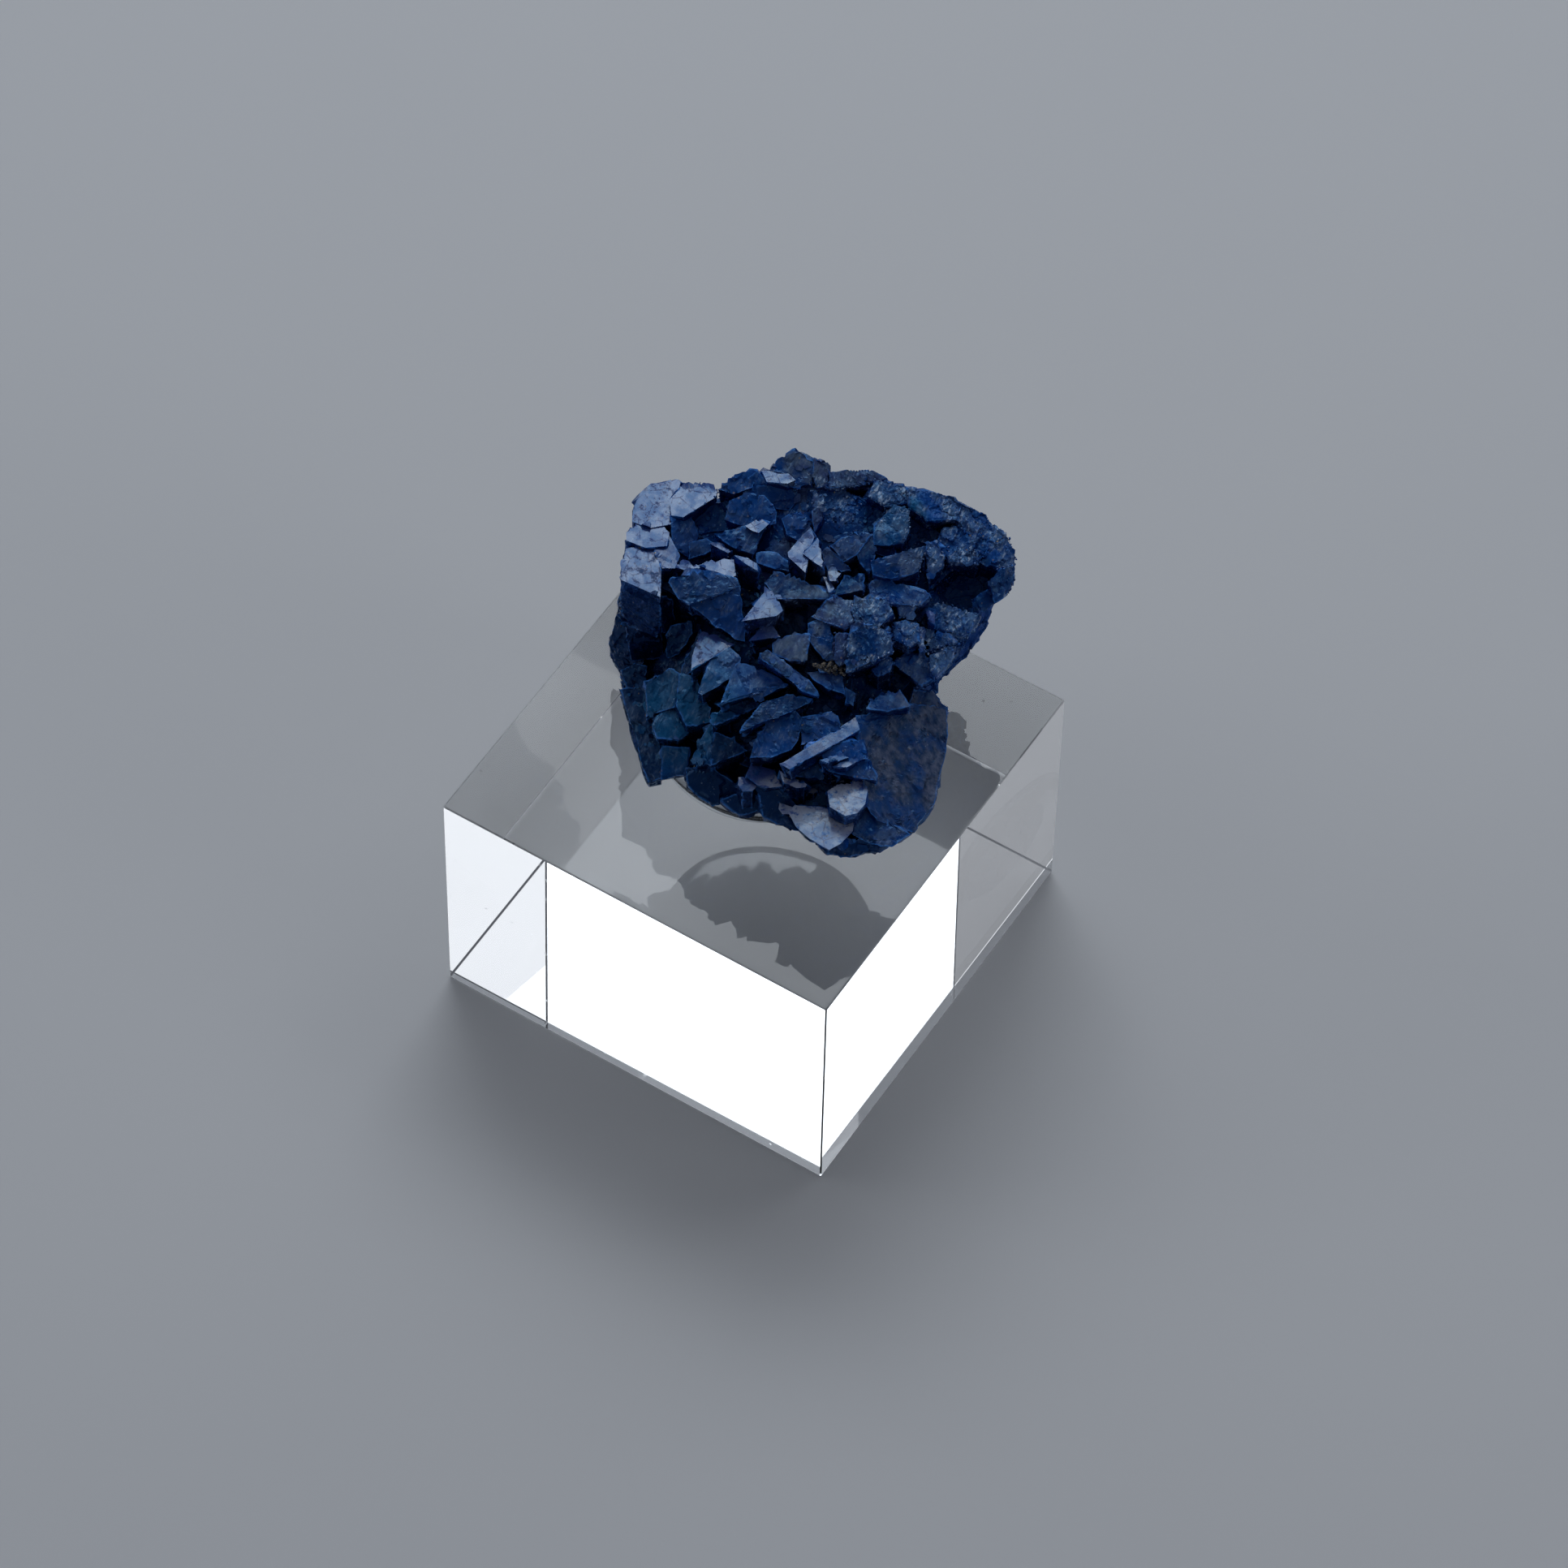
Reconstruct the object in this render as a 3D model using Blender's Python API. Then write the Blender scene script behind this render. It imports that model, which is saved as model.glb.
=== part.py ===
"""Azurite crystal cluster fixed with a clear putty pad on a clear acrylic display block.

The frame is +Z up, with its origin at the centre of the block's underside. The block's sides
lie along X and Y. Lengths below are in millimetres, and meshes are made in metres.

The cluster's display side is laid out in a display frame: u runs to the right, v up and w out
towards somebody who looks at the cluster from its front, from above. That frame's origin is
the centre of the block's top face.
"""

import math
import random
from dataclasses import dataclass

import bmesh
import bpy
from mathutils import Matrix, Vector
from mathutils.bvhtree import BVHTree

METRES = 0.001

# The display block and the pad on it.
BLOCK_SIDE = 50.0
BLOCK_HEIGHT = 33.0
BLOCK_CHAMFER = 0.15
GAP = 0.3
PAD_CENTRE = (-0.4, 3.2)
PAD_RADIUS = 13.1
PAD_THICKNESS = 1.2
PAD_ROUNDING = 0.45
PAD_SIDES = 40

# The display frame: where the eye stands round the block.
DISPLAY_AZIMUTH = 31.3
DISPLAY_ELEVATION = 53.8
DISPLAY_ROLL = 1.4
EYE_DISTANCE = 810.0

# The cluster.
FOOT_RADIUS = 9.6
FOOT_HEIGHT = 8.5
LEVEL_SLOPE = -0.731
CORE_DEPTH = 3.4
SKIN_DEPTH = 9.0
SEED = 20
SIDE_CRYSTALS = 55
RIM_CRYSTALS = 16
FILL_CRYSTALS = 16
SIDE_SUNK = 1.2
FILL_SUNK = -0.4
FARTHEST_OUT = 24.4
LOWEST = 0.8
FLAT_WITHIN = math.radians(1.0)
AZURITE_BLUE = (0.012, 0.045, 0.19, 1.0)


@dataclass(frozen=True)
class Crystal:
    """A flat-faced crystal, given by the outline of the facet that it shows.

    lean is 0 where the facet is level and 1 where it faces the display side. turn is how fast
    it rises to the right, in mm per mm. lift is how far it stands out of the cluster's general
    surface. body is the crystal's depth, drop the share of that depth that runs straight down
    instead of straight in, and root the size of its buried end against its facet.
    """

    name: str
    corners: tuple
    lean: float = 0.0
    turn: float = 0.0
    lift: float = 0.0
    body: float = 7.0
    drop: float = 0.5
    root: float = 0.8


# Points (u, v, w) on the cluster's general surface, between which its depth is read.
SURFACE = (
    (-12.0, 28.0, 10.6), (-13.0, 24.0, 13.4), (-5.5, 28.8, 10.6), (-12.5, 19.5, 15.6),
    (-9.5, 22.0, 13.4), (-5.0, 25.5, 9.6), (-6.5, 23.0, 11.0), (1.6, 23.3, 12.6),
    (-2.0, 23.6, 14.6), (4.0, 26.0, 14.6), (2.0, 29.0, 12.2), (4.6, 32.4, 12.2),
    (10.0, 30.3, 12.3), (7.0, 24.0, 16.6), (12.0, 26.0, 15.6), (16.0, 28.2, 14.0),
    (22.0, 26.0, 14.6), (27.0, 24.0, 14.4), (28.6, 20.0, 14.2), (17.0, 24.0, 17.0),
    (-5.0, 18.0, 17.6), (0.0, 20.0, 17.6), (6.0, 21.0, 18.6), (10.0, 21.0, 18.6),
    (15.0, 20.5, 18.6), (19.5, 21.0, 16.6), (23.0, 18.2, 10.0), (22.0, 14.2, 15.4),
    (24.6, 14.6, 13.4), (18.0, 16.0, 18.6), (1.0, 16.0, 20.0), (8.0, 15.0, 20.6),
    (14.0, 14.0, 20.8), (12.0, 11.0, 21.4), (20.0, 10.0, 17.4), (-4.0, 12.0, 17.6),
    (-8.6, 14.0, 10.5), (-12.0, 13.0, 8.6), (-14.5, 12.0, 4.2), (-16.0, 11.5, 0.6),
    (-13.6, 6.0, 6.6), (-12.5, 0.0, 9.4), (-9.0, 7.0, 13.4), (-9.0, 1.0, 13.4),
    (2.0, 9.0, 21.2), (-2.0, 8.0, 19.6), (-6.0, 7.0, 16.4), (-2.0, 4.0, 18.8),
    (3.0, 5.0, 20.8), (3.0, 1.0, 20.8), (-4.0, 0.0, 17.4), (-4.0, -4.0, 15.2),
    (-7.0, -3.0, 13.0), (0.5, -3.0, 18.4), (-1.0, -6.0, 16.4), (3.0, -7.0, 18.8),
    (7.0, -3.0, 20.8), (10.0, -5.0, 21.4), (8.0, -9.0, 21.0), (12.0, -9.5, 20.6),
    (9.0, 1.0, 21.8), (13.0, -2.0, 21.4), (15.0, 8.2, 15.0), (14.0, 5.4, 19.4),
    (21.0, 4.0, 13.0), (20.0, -3.0, 15.2), (17.0, -8.0, 18.4), (16.0, 0.0, 18.2),
)

# The cluster's outline in (u, v), which the skin under its crystals keeps inside.
OUTLINE = (
    (4.8, 33.4), (8.9, 31.5), (14.3, 30.4), (20.0, 28.8), (25.5, 26.5), (28.6, 23.6),
    (29.1, 21.3), (28.2, 17.6), (25.4, 15.6), (24.6, 13.9), (22.2, 11.2), (20.0, 8.0),
    (21.3, 4.8), (21.2, 0.0), (19.8, -5.8), (17.0, -9.4), (14.0, -11.0), (10.4, -11.4),
    (7.0, -10.4), (4.4, -8.4), (1.2, -7.4), (-1.2, -6.8), (-5.0, -5.6), (-8.2, -2.6),
    (-12.1, -3.2), (-13.6, 2.4), (-14.8, 6.6), (-16.1, 11.6), (-15.0, 18.0), (-14.2, 24.4),
    (-12.4, 29.0), (-9.4, 30.4), (-5.0, 29.4), (-1.4, 31.4),
)
SKIN_CENTRE = (6.0, 11.0)
SKIN_RINGS = (0.2, 0.42, 0.62, 0.79, 0.92)
SKIN_INSET = 0.95

# The big masses behind the skin: corners (x, y, height over the block's top) of convex lumps.
WEST_MASS = (
    (-17.5, 5.0, 22.8), (-14.0, 9.8, 22.0), (-9.0, 12.5, 22.0), (-9.5, 1.0, 19.2),
    (-17.2, 0.6, 21.0), (-17.6, 2.6, 9.0), (-13.0, 9.6, 8.0), (-5.0, 11.0, 6.0),
    (-5.0, -1.0, 6.0), (-16.2, -0.6, 8.6),
)
NORTH_MASS = (
    (-13.0, 9.0, 21.2), (-8.6, 15.6, 26.6), (-4.6, 17.6, 27.4), (0.6, 18.6, 26.0),
    (8.4, 21.0, 25.2), (13.8, 20.8, 22.8), (-12.6, 7.6, 10.0), (-8.6, 14.2, 9.4),
    (-1.0, 17.6, 9.0), (8.0, 18.4, 9.6), (14.0, 16.0, 12.0), (0.0, 8.0, 3.6),
    (4.0, -1.4, 19.2), (9.6, 2.6, 18.6),
)
EAST_MASS = (
    (18.2, 21.2, 20.2), (17.0, 20.2, 16.6), (17.4, 17.0, 13.2), (17.8, 18.6, 15.2),
    (9.4, 20.4, 22.4), (6.8, 10.0, 18.8), (14.4, 6.8, 14.2), (12.0, 14.0, 8.0),
    (16.0, 9.4, 11.4), (6.0, 0.0, 10.0),
)
MIDDLE_MASS = (
    (-8.0, -2.0, 14.0), (-2.2, -7.2, 14.2), (2.4, -8.4, 13.2), (7.8, -5.6, 16.8),
    (11.8, 0.4, 17.2), (6.0, 10.0, 21.6), (-7.0, 9.0, 21.6), (-10.2, -6.0, 7.5),
    (0.0, -9.8, 11.0), (9.6, -8.2, 11.4), (14.0, 4.0, 10.0), (0.0, 12.0, 5.0),
    (-8.0, 4.0, 5.0), (3.0, -4.0, 5.4),
)
SOUTH_MASS = (
    (5.8, -10.2, 11.2), (13.8, -11.0, 10.4), (17.2, -10.2, 10.2), (19.0, -4.0, 12.4),
    (18.4, 2.6, 13.6), (12.0, 4.4, 16.4), (6.8, -3.6, 17.2), (16.4, -10.4, 9.2),
    (6.8, -10.2, 9.2), (17.4, 1.0, 10.6), (8.0, -6.0, 7.0), (13.0, 0.0, 7.6),
)
MASSES = (WEST_MASS, NORTH_MASS, EAST_MASS, MIDDLE_MASS, SOUTH_MASS)

PLATEAU = (
    Crystal("plateau back", ((-13.7, 25.6), (-13.5, 27.3), (-12.6, 28.8), (-11.0, 29.9),
            (-9.5, 30.5), (-8.3, 30.0), (-8.8, 27.4), (-9.4, 25.3), (-11.6, 24.9)),
            body=9.0, drop=0.85, root=0.9),
    Crystal("plateau right", ((-9.6, 28.0), (-8.2, 29.4), (-6.4, 29.7), (-4.1, 29.3),
            (-4.4, 28.3), (-6.0, 27.5), (-8.0, 26.1), (-9.3, 26.3)),
            lean=0.03, lift=0.5, drop=0.8),
    Crystal("plateau middle", ((-14.3, 24.7), (-13.0, 25.6), (-10.4, 25.4), (-9.5, 24.4),
            (-9.8, 22.9), (-12.2, 22.7), (-14.3, 23.5)),
            lift=-0.3, body=9.0, drop=0.9, root=0.9),
    Crystal("plateau front", ((-14.3, 22.8), (-12.2, 23.0), (-10.9, 21.9), (-10.4, 20.0),
            (-10.5, 17.2), (-12.0, 17.9), (-13.9, 18.8), (-15.0, 19.2), (-14.7, 21.0)),
            lift=-0.1, body=9.0, drop=0.9, root=0.88),
    Crystal("plateau knob", ((-11.2, 23.9), (-9.7, 24.3), (-8.3, 21.8), (-8.9, 20.4),
            (-10.3, 20.4), (-11.1, 21.8)), lean=0.15, turn=-0.2, lift=0.6, body=6.0, drop=0.7),
    Crystal("west spur", ((-15.0, 17.6), (-16.3, 11.7), (-15.6, 10.2), (-14.2, 8.0),
            (-12.6, 8.6), (-12.4, 12.0), (-14.0, 17.0)),
            lean=1.9, turn=0.9, lift=0.4, body=7.0, drop=0.3, root=0.85),
    Crystal("spur foot", ((-14.9, 9.2), (-13.4, 10.0), (-12.0, 9.6), (-12.2, 7.4), (-14.2, 7.2)),
            lean=1.3, turn=0.5, lift=0.4, body=6.0, drop=0.3, root=0.9),
    Crystal("cliff face", ((-14.7, 18.7), (-12.6, 18.0), (-10.5, 17.2), (-10.2, 14.6),
            (-10.5, 10.6), (-13.7, 10.2), (-14.6, 14.6)),
            lean=2.3, turn=0.12, lift=0.9, body=7.0, drop=0.0, root=0.9),
    Crystal("cliff rib", ((-10.5, 17.3), (-9.3, 17.0), (-9.0, 14.8), (-9.4, 12.9),
            (-10.3, 13.2)), lean=2.3, turn=-0.5, lift=0.9, body=6.0, drop=0.0, root=0.85),
    Crystal("cliff foot", ((-9.3, 14.0), (-7.2, 14.6), (-7.0, 13.2), (-8.6, 11.0),
            (-9.8, 10.4), (-10.0, 12.6)), lean=1.7, turn=0.3, lift=0.7, body=6.0, drop=0.0),
)

BOWL = (
    Crystal("bowl floor", ((-6.9, 26.4), (-5.6, 27.7), (-2.4, 28.0), (-0.6, 26.6),
            (-1.6, 24.9), (-5.2, 24.4), (-7.2, 24.6)), lean=0.8, turn=0.1, body=5.0),
    Crystal("bowl left", ((-9.2, 25.9), (-7.3, 26.7), (-6.6, 24.0), (-7.4, 21.8),
            (-9.3, 22.8)), lean=0.9, turn=-0.7, lift=0.2, body=5.0),
    Crystal("bowl rim", ((-4.3, 29.2), (-1.5, 31.3), (0.2, 31.2), (-0.3, 29.4),
            (-2.4, 28.6)), lean=0.6, turn=0.2, lift=0.6, body=6.0),
    Crystal("bowl back", ((-3.2, 27.8), (-1.0, 28.8), (1.0, 28.4), (2.4, 27.0), (2.2, 25.4),
            (-1.0, 24.9), (-3.4, 25.8)), lean=0.85, turn=0.15, lift=0.3, body=5.0),
    Crystal("bowl front", ((-7.3, 23.2), (-5.4, 23.7), (-4.4, 22.9), (-5.6, 22.0),
            (-7.3, 21.5)), lean=0.7, turn=0.3, lift=0.8, body=5.0),
)

SUMMIT = (
    Crystal("summit", ((1.7, 31.2), (2.4, 32.6), (4.4, 33.6), (5.4, 33.3), (6.6, 32.6),
            (6.3, 29.8), (4.4, 29.4), (2.0, 30.3)), lean=0.9, turn=0.1, lift=0.9, body=8.0),
    Crystal("summit right", ((6.5, 32.7), (7.1, 32.7), (8.3, 31.0), (8.2, 29.8), (6.8, 29.2),
            (6.4, 30.6)), lean=0.9, turn=-0.9, lift=0.4, body=7.0),
    Crystal("summit step", ((0.7, 31.3), (2.0, 31.0), (3.7, 30.9), (4.5, 30.2), (3.6, 29.8),
            (1.3, 30.0)), lift=1.2, body=6.0, drop=0.8),
    Crystal("summit front", ((0.3, 29.6), (4.2, 29.6), (5.0, 28.3), (3.8, 26.8), (2.3, 27.0),
            (0.2, 28.4)), lean=1.15, turn=-0.15, lift=0.6, body=6.0),
    Crystal("north ridge", ((8.2, 31.2), (10.4, 31.5), (13.0, 31.1), (14.7, 30.2),
            (11.0, 29.4), (8.0, 29.2)), lean=0.75, lift=0.3, body=8.0),
    Crystal("summit left", ((0.2, 31.1), (1.2, 30.0), (0.3, 28.6), (-1.2, 28.4), (-1.6, 29.8)),
            lean=0.9, turn=0.4, lift=0.5, body=6.0),
)

UPPER_MIDDLE = (
    Crystal("pit left", ((-4.5, 24.1), (-1.2, 25.0), (0.5, 25.9), (1.4, 25.3), (0.6, 23.9),
            (-0.2, 22.0), (-2.6, 22.9)), lean=0.5, turn=0.05, lift=0.6, body=7.0),
    Crystal("pit top", ((-1.1, 25.1), (0.5, 26.0), (1.5, 25.3), (0.4, 24.3), (-0.4, 24.6)),
            lift=1.7, body=5.0),
    Crystal("pit right", ((2.9, 25.9), (4.6, 26.9), (6.2, 26.2), (6.3, 24.2), (4.9, 23.4),
            (3.5, 24.2)), lean=0.8, turn=-0.2, lift=0.9, body=7.0),
    Crystal("pit front", ((1.4, 22.5), (3.2, 23.9), (4.6, 23.2), (3.5, 22.2), (3.7, 21.4),
            (1.9, 21.7)), lean=0.7, turn=0.3, lift=0.6, body=6.0),
    Crystal("column", ((6.3, 29.0), (7.8, 28.8), (7.6, 26.0), (6.6, 24.4), (6.2, 26.6)),
            lean=0.9, turn=-0.5, lift=0.8, body=7.0),
    Crystal("sliver", ((-5.0, 23.1), (-3.8, 23.2), (-2.5, 22.4), (-3.0, 22.1)),
            lift=1.3, body=5.0, drop=0.8),
    Crystal("level kite", ((-6.0, 20.6), (-3.5, 21.8), (-2.4, 21.6), (-2.1, 19.6),
            (-3.1, 19.1)), lift=1.4, body=6.5, drop=0.85, root=0.7),
    Crystal("level shard", ((-2.3, 21.8), (-0.8, 21.8), (0.1, 21.2), (0.3, 20.1),
            (-0.9, 20.8)), lift=1.5, body=6.5, drop=0.85, root=0.7),
    Crystal("kite ledge", ((-8.8, 20.5), (-7.9, 21.0), (-5.8, 20.9), (-5.7, 20.5),
            (-7.8, 20.2)), lift=1.8, body=6.0, drop=0.8),
    Crystal("shoulder", ((0.2, 22.0), (2.0, 22.2), (3.6, 21.2), (4.3, 20.0), (2.2, 20.4),
            (0.3, 21.0)), lean=0.55, turn=0.05, lift=0.8, body=6.0),
)

BLADES = (
    Crystal("great blade top", ((-9.7, 19.1), (-8.6, 19.7), (-5.0, 19.9), (-2.0, 19.3),
            (-1.8, 18.3), (-7.3, 16.3), (-8.4, 17.0)),
            lean=0.55, turn=0.05, lift=1.6, body=7.0, drop=0.35, root=0.75),
    Crystal("great blade face", ((-7.3, 16.4), (-1.8, 18.4), (-1.5, 16.4), (-1.2, 12.3),
            (-2.2, 12.6), (-4.4, 14.0)),
            lean=1.15, turn=0.05, lift=1.5, body=7.0, drop=0.2, root=0.7),
    Crystal("bright wedge", ((1.2, 17.9), (1.6, 17.9), (3.1, 15.7), (2.4, 15.1),
            (-1.5, 14.5), (-0.2, 16.0)), lift=1.5, body=7.0, drop=0.75, root=0.65),
    Crystal("grey wedge", ((0.9, 14.0), (2.0, 13.9), (2.9, 12.8), (-0.7, 12.3)),
            lean=0.05, lift=1.0, body=7.0, drop=0.7, root=0.65),
    Crystal("wide shelf", ((1.0, 18.8), (2.0, 20.1), (3.2, 19.9), (5.4, 18.9), (8.4, 17.4),
            (8.0, 17.0), (4.2, 17.6), (2.3, 17.0)),
            lean=0.42, turn=0.02, lift=1.5, body=7.0, drop=0.6, root=0.7),
    Crystal("shelf end", ((8.4, 17.2), (9.9, 19.6), (12.0, 19.6), (12.2, 17.9), (10.2, 17.6)),
            lean=0.5, turn=-0.05, lift=1.0, body=7.0, drop=0.6, root=0.7),
    Crystal("left prism", ((-6.1, 13.5), (-5.0, 13.2), (-2.3, 12.0), (-4.6, 10.6),
            (-7.1, 9.0), (-7.0, 10.6)),
            lean=0.13, turn=0.04, lift=1.0, body=8.0, drop=0.6, root=0.75),
    Crystal("left prism side", ((-6.1, 13.6), (-7.1, 10.8), (-7.1, 9.1), (-8.2, 8.1),
            (-8.0, 9.5), (-6.8, 12.6)), lean=0.8, turn=0.9, lift=0.6, body=7.0, drop=0.3),
    Crystal("left lump", ((-4.7, 10.9), (-2.8, 11.6), (-1.6, 10.4), (-2.3, 8.4), (-5.9, 6.2),
            (-6.4, 6.6), (-5.2, 9.0)), lean=0.4, turn=0.05, lift=1.4, body=7.0, drop=0.5),
    Crystal("big triangle", ((-2.1, 10.1), (0.2, 9.3), (3.7, 7.5), (0.8, 6.8), (-2.6, 6.2),
            (-4.0, 5.2), (-2.8, 7.2)),
            lean=0.4, turn=0.02, lift=1.5, body=8.0, drop=0.5, root=0.75),
    Crystal("triangle face", ((-0.2, 7.1), (3.7, 7.5), (0.7, 6.3), (0.1, 5.6), (-0.5, 6.4)),
            lean=1.2, lift=1.2, body=6.0, drop=0.2),
    Crystal("teal step", ((-3.3, 5.6), (-0.5, 6.3), (1.1, 6.4), (0.2, 5.0), (-2.8, 3.8),
            (-4.6, 3.0), (-4.3, 4.2)),
            lean=0.55, turn=0.03, lift=1.3, body=7.0, drop=0.3, root=0.7),
    Crystal("slanting blade", ((1.0, 5.8), (3.5, 6.3), (6.3, 5.7), (4.8, 4.8), (2.5, 4.8),
            (0.1, 3.4), (-1.6, 2.3), (-0.3, 3.9)),
            lean=0.6, turn=0.02, lift=1.1, body=7.0, drop=0.3, root=0.7),
    Crystal("long blade", ((0.4, 10.6), (1.4, 11.4), (4.2, 8.9), (6.0, 8.0), (7.0, 6.2),
            (5.4, 6.8), (3.9, 7.9)), lean=0.45, turn=-0.35, lift=1.3, body=7.0, drop=0.3),
    Crystal("second blade", ((5.6, 9.0), (7.6, 8.9), (9.8, 8.6), (10.0, 6.3), (8.4, 6.9),
            (6.6, 8.0)), lean=0.6, turn=-0.1, lift=1.3, body=7.0, drop=0.3),
    Crystal("grey tip", ((9.9, 7.3), (11.3, 6.6), (10.9, 5.0), (10.1, 5.5)),
            lean=0.6, turn=-0.3, lift=1.8, body=7.0, drop=0.3),
)

MIDDLE = (
    Crystal("left triangle", ((3.6, 22.2), (6.3, 24.2), (6.2, 22.8), (5.7, 21.2),
            (5.6, 19.9), (3.7, 21.6)), lift=1.3, body=7.0, drop=0.8, root=0.65),
    Crystal("right triangle", ((5.3, 22.0), (6.98, 23.7), (7.3, 21.8), (7.45, 20.5),
            (6.5, 21.1)), lift=1.7, body=7.0, drop=0.8, root=0.65),
    Crystal("slate facet", ((7.4, 22.1), (8.0, 22.7), (9.2, 21.4), (10.8, 20.2),
            (9.6, 19.8), (8.2, 20.3), (7.6, 21.0)),
            lean=1.15, turn=-0.1, lift=1.0, body=7.0, drop=0.3),
    Crystal("small square", ((8.05, 20.3), (9.5, 19.75), (8.8, 19.0), (8.3, 19.0)),
            lift=1.4, body=6.0, drop=0.8, root=0.7),
    Crystal("small sliver", ((7.7, 19.2), (8.2, 19.3), (8.6, 17.9), (8.2, 17.7)),
            lift=1.2, body=6.0, drop=0.8, root=0.7),
    Crystal("striped facet", ((8.3, 22.9), (11.0, 24.7), (12.9, 24.2), (11.4, 22.0),
            (10.4, 21.6), (9.8, 21.0)), lean=0.7, turn=0.15, lift=1.1, body=7.0),
    Crystal("striped side", ((11.3, 22.0), (13.0, 24.3), (13.3, 21.8), (12.6, 20.0),
            (11.7, 21.0)), lean=1.0, turn=-0.3, lift=1.0, body=7.0),
    Crystal("mossy face", ((13.1, 23.0), (13.2, 25.4), (15.2, 27.6), (17.2, 27.0),
            (17.2, 24.6), (16.4, 23.2), (14.8, 22.9)),
            lean=0.5, turn=-0.05, lift=1.1, body=8.0, drop=0.4),
    Crystal("mossy ledge", ((12.9, 21.2), (15.5, 22.0), (19.1, 23.1), (18.4, 20.0),
            (15.0, 19.2), (13.2, 19.8)), lean=0.85, turn=-0.1, lift=1.1, body=8.0),
    Crystal("upright rib", ((19.1, 23.4), (20.1, 23.7), (21.0, 22.6), (20.9, 20.7),
            (19.3, 19.2), (18.9, 21.0)), lean=0.85, turn=-0.6, lift=0.9, body=7.0),
    Crystal("pointed shelf", ((12.6, 18.6), (14.4, 19.3), (16.6, 18.4), (19.7, 17.5),
            (18.2, 16.2), (15.0, 16.4), (12.8, 17.0)),
            lean=0.5, turn=-0.05, lift=1.0, body=8.0, drop=0.4),
    Crystal("shelf face", ((15.7, 16.5), (18.0, 16.4), (17.6, 14.9), (15.9, 14.8)),
            lean=1.1, turn=-0.1, lift=1.1, body=7.0, drop=0.2),
    Crystal("smooth facet", ((6.0, 14.1), (7.3, 14.9), (8.2, 14.5), (8.9, 12.4), (8.9, 10.1),
            (7.9, 10.1), (6.0, 12.6)), lean=0.9, turn=0.1, lift=1.3, body=8.0, drop=0.3),
    Crystal("teal facet", ((8.8, 13.3), (10.4, 13.1), (10.7, 11.4), (10.4, 10.3),
            (9.4, 9.5), (8.8, 10.0)), lean=1.0, turn=-0.5, lift=1.2, body=8.0, drop=0.3),
    Crystal("speckled facet", ((2.0, 12.3), (4.4, 13.1), (6.0, 13.0), (5.5, 10.0),
            (3.9, 10.1), (2.0, 11.0)), lean=0.75, turn=0.3, lift=1.0, body=8.0, drop=0.3),
    Crystal("stepped crown", ((6.3, 15.0), (7.6, 16.6), (9.0, 17.2), (11.2, 17.0),
            (11.6, 14.8), (10.0, 13.6), (7.6, 14.4)), lean=0.5, lift=0.9, body=8.0, drop=0.4),
    Crystal("mottled dome", ((10.4, 13.2), (12.4, 14.2), (14.6, 13.6), (15.2, 12.4),
            (15.0, 11.0), (12.8, 9.9), (10.1, 8.8), (10.6, 11.0)),
            lean=0.75, turn=-0.15, lift=1.1, body=8.0, drop=0.3, root=0.75),
    Crystal("mottled crown", ((11.0, 17.4), (14.6, 17.2), (15.6, 15.4), (13.6, 13.8),
            (11.4, 13.8), (10.6, 15.6)), lean=0.55, turn=-0.05, lift=0.9, body=8.0, drop=0.4),
    Crystal("matrix crumb", ((6.9, 9.5), (7.5, 10.0), (8.8, 9.8), (9.1, 9.3), (8.2, 8.7),
            (7.2, 8.9)), lean=0.6, lift=1.4, body=5.0),
)

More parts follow.
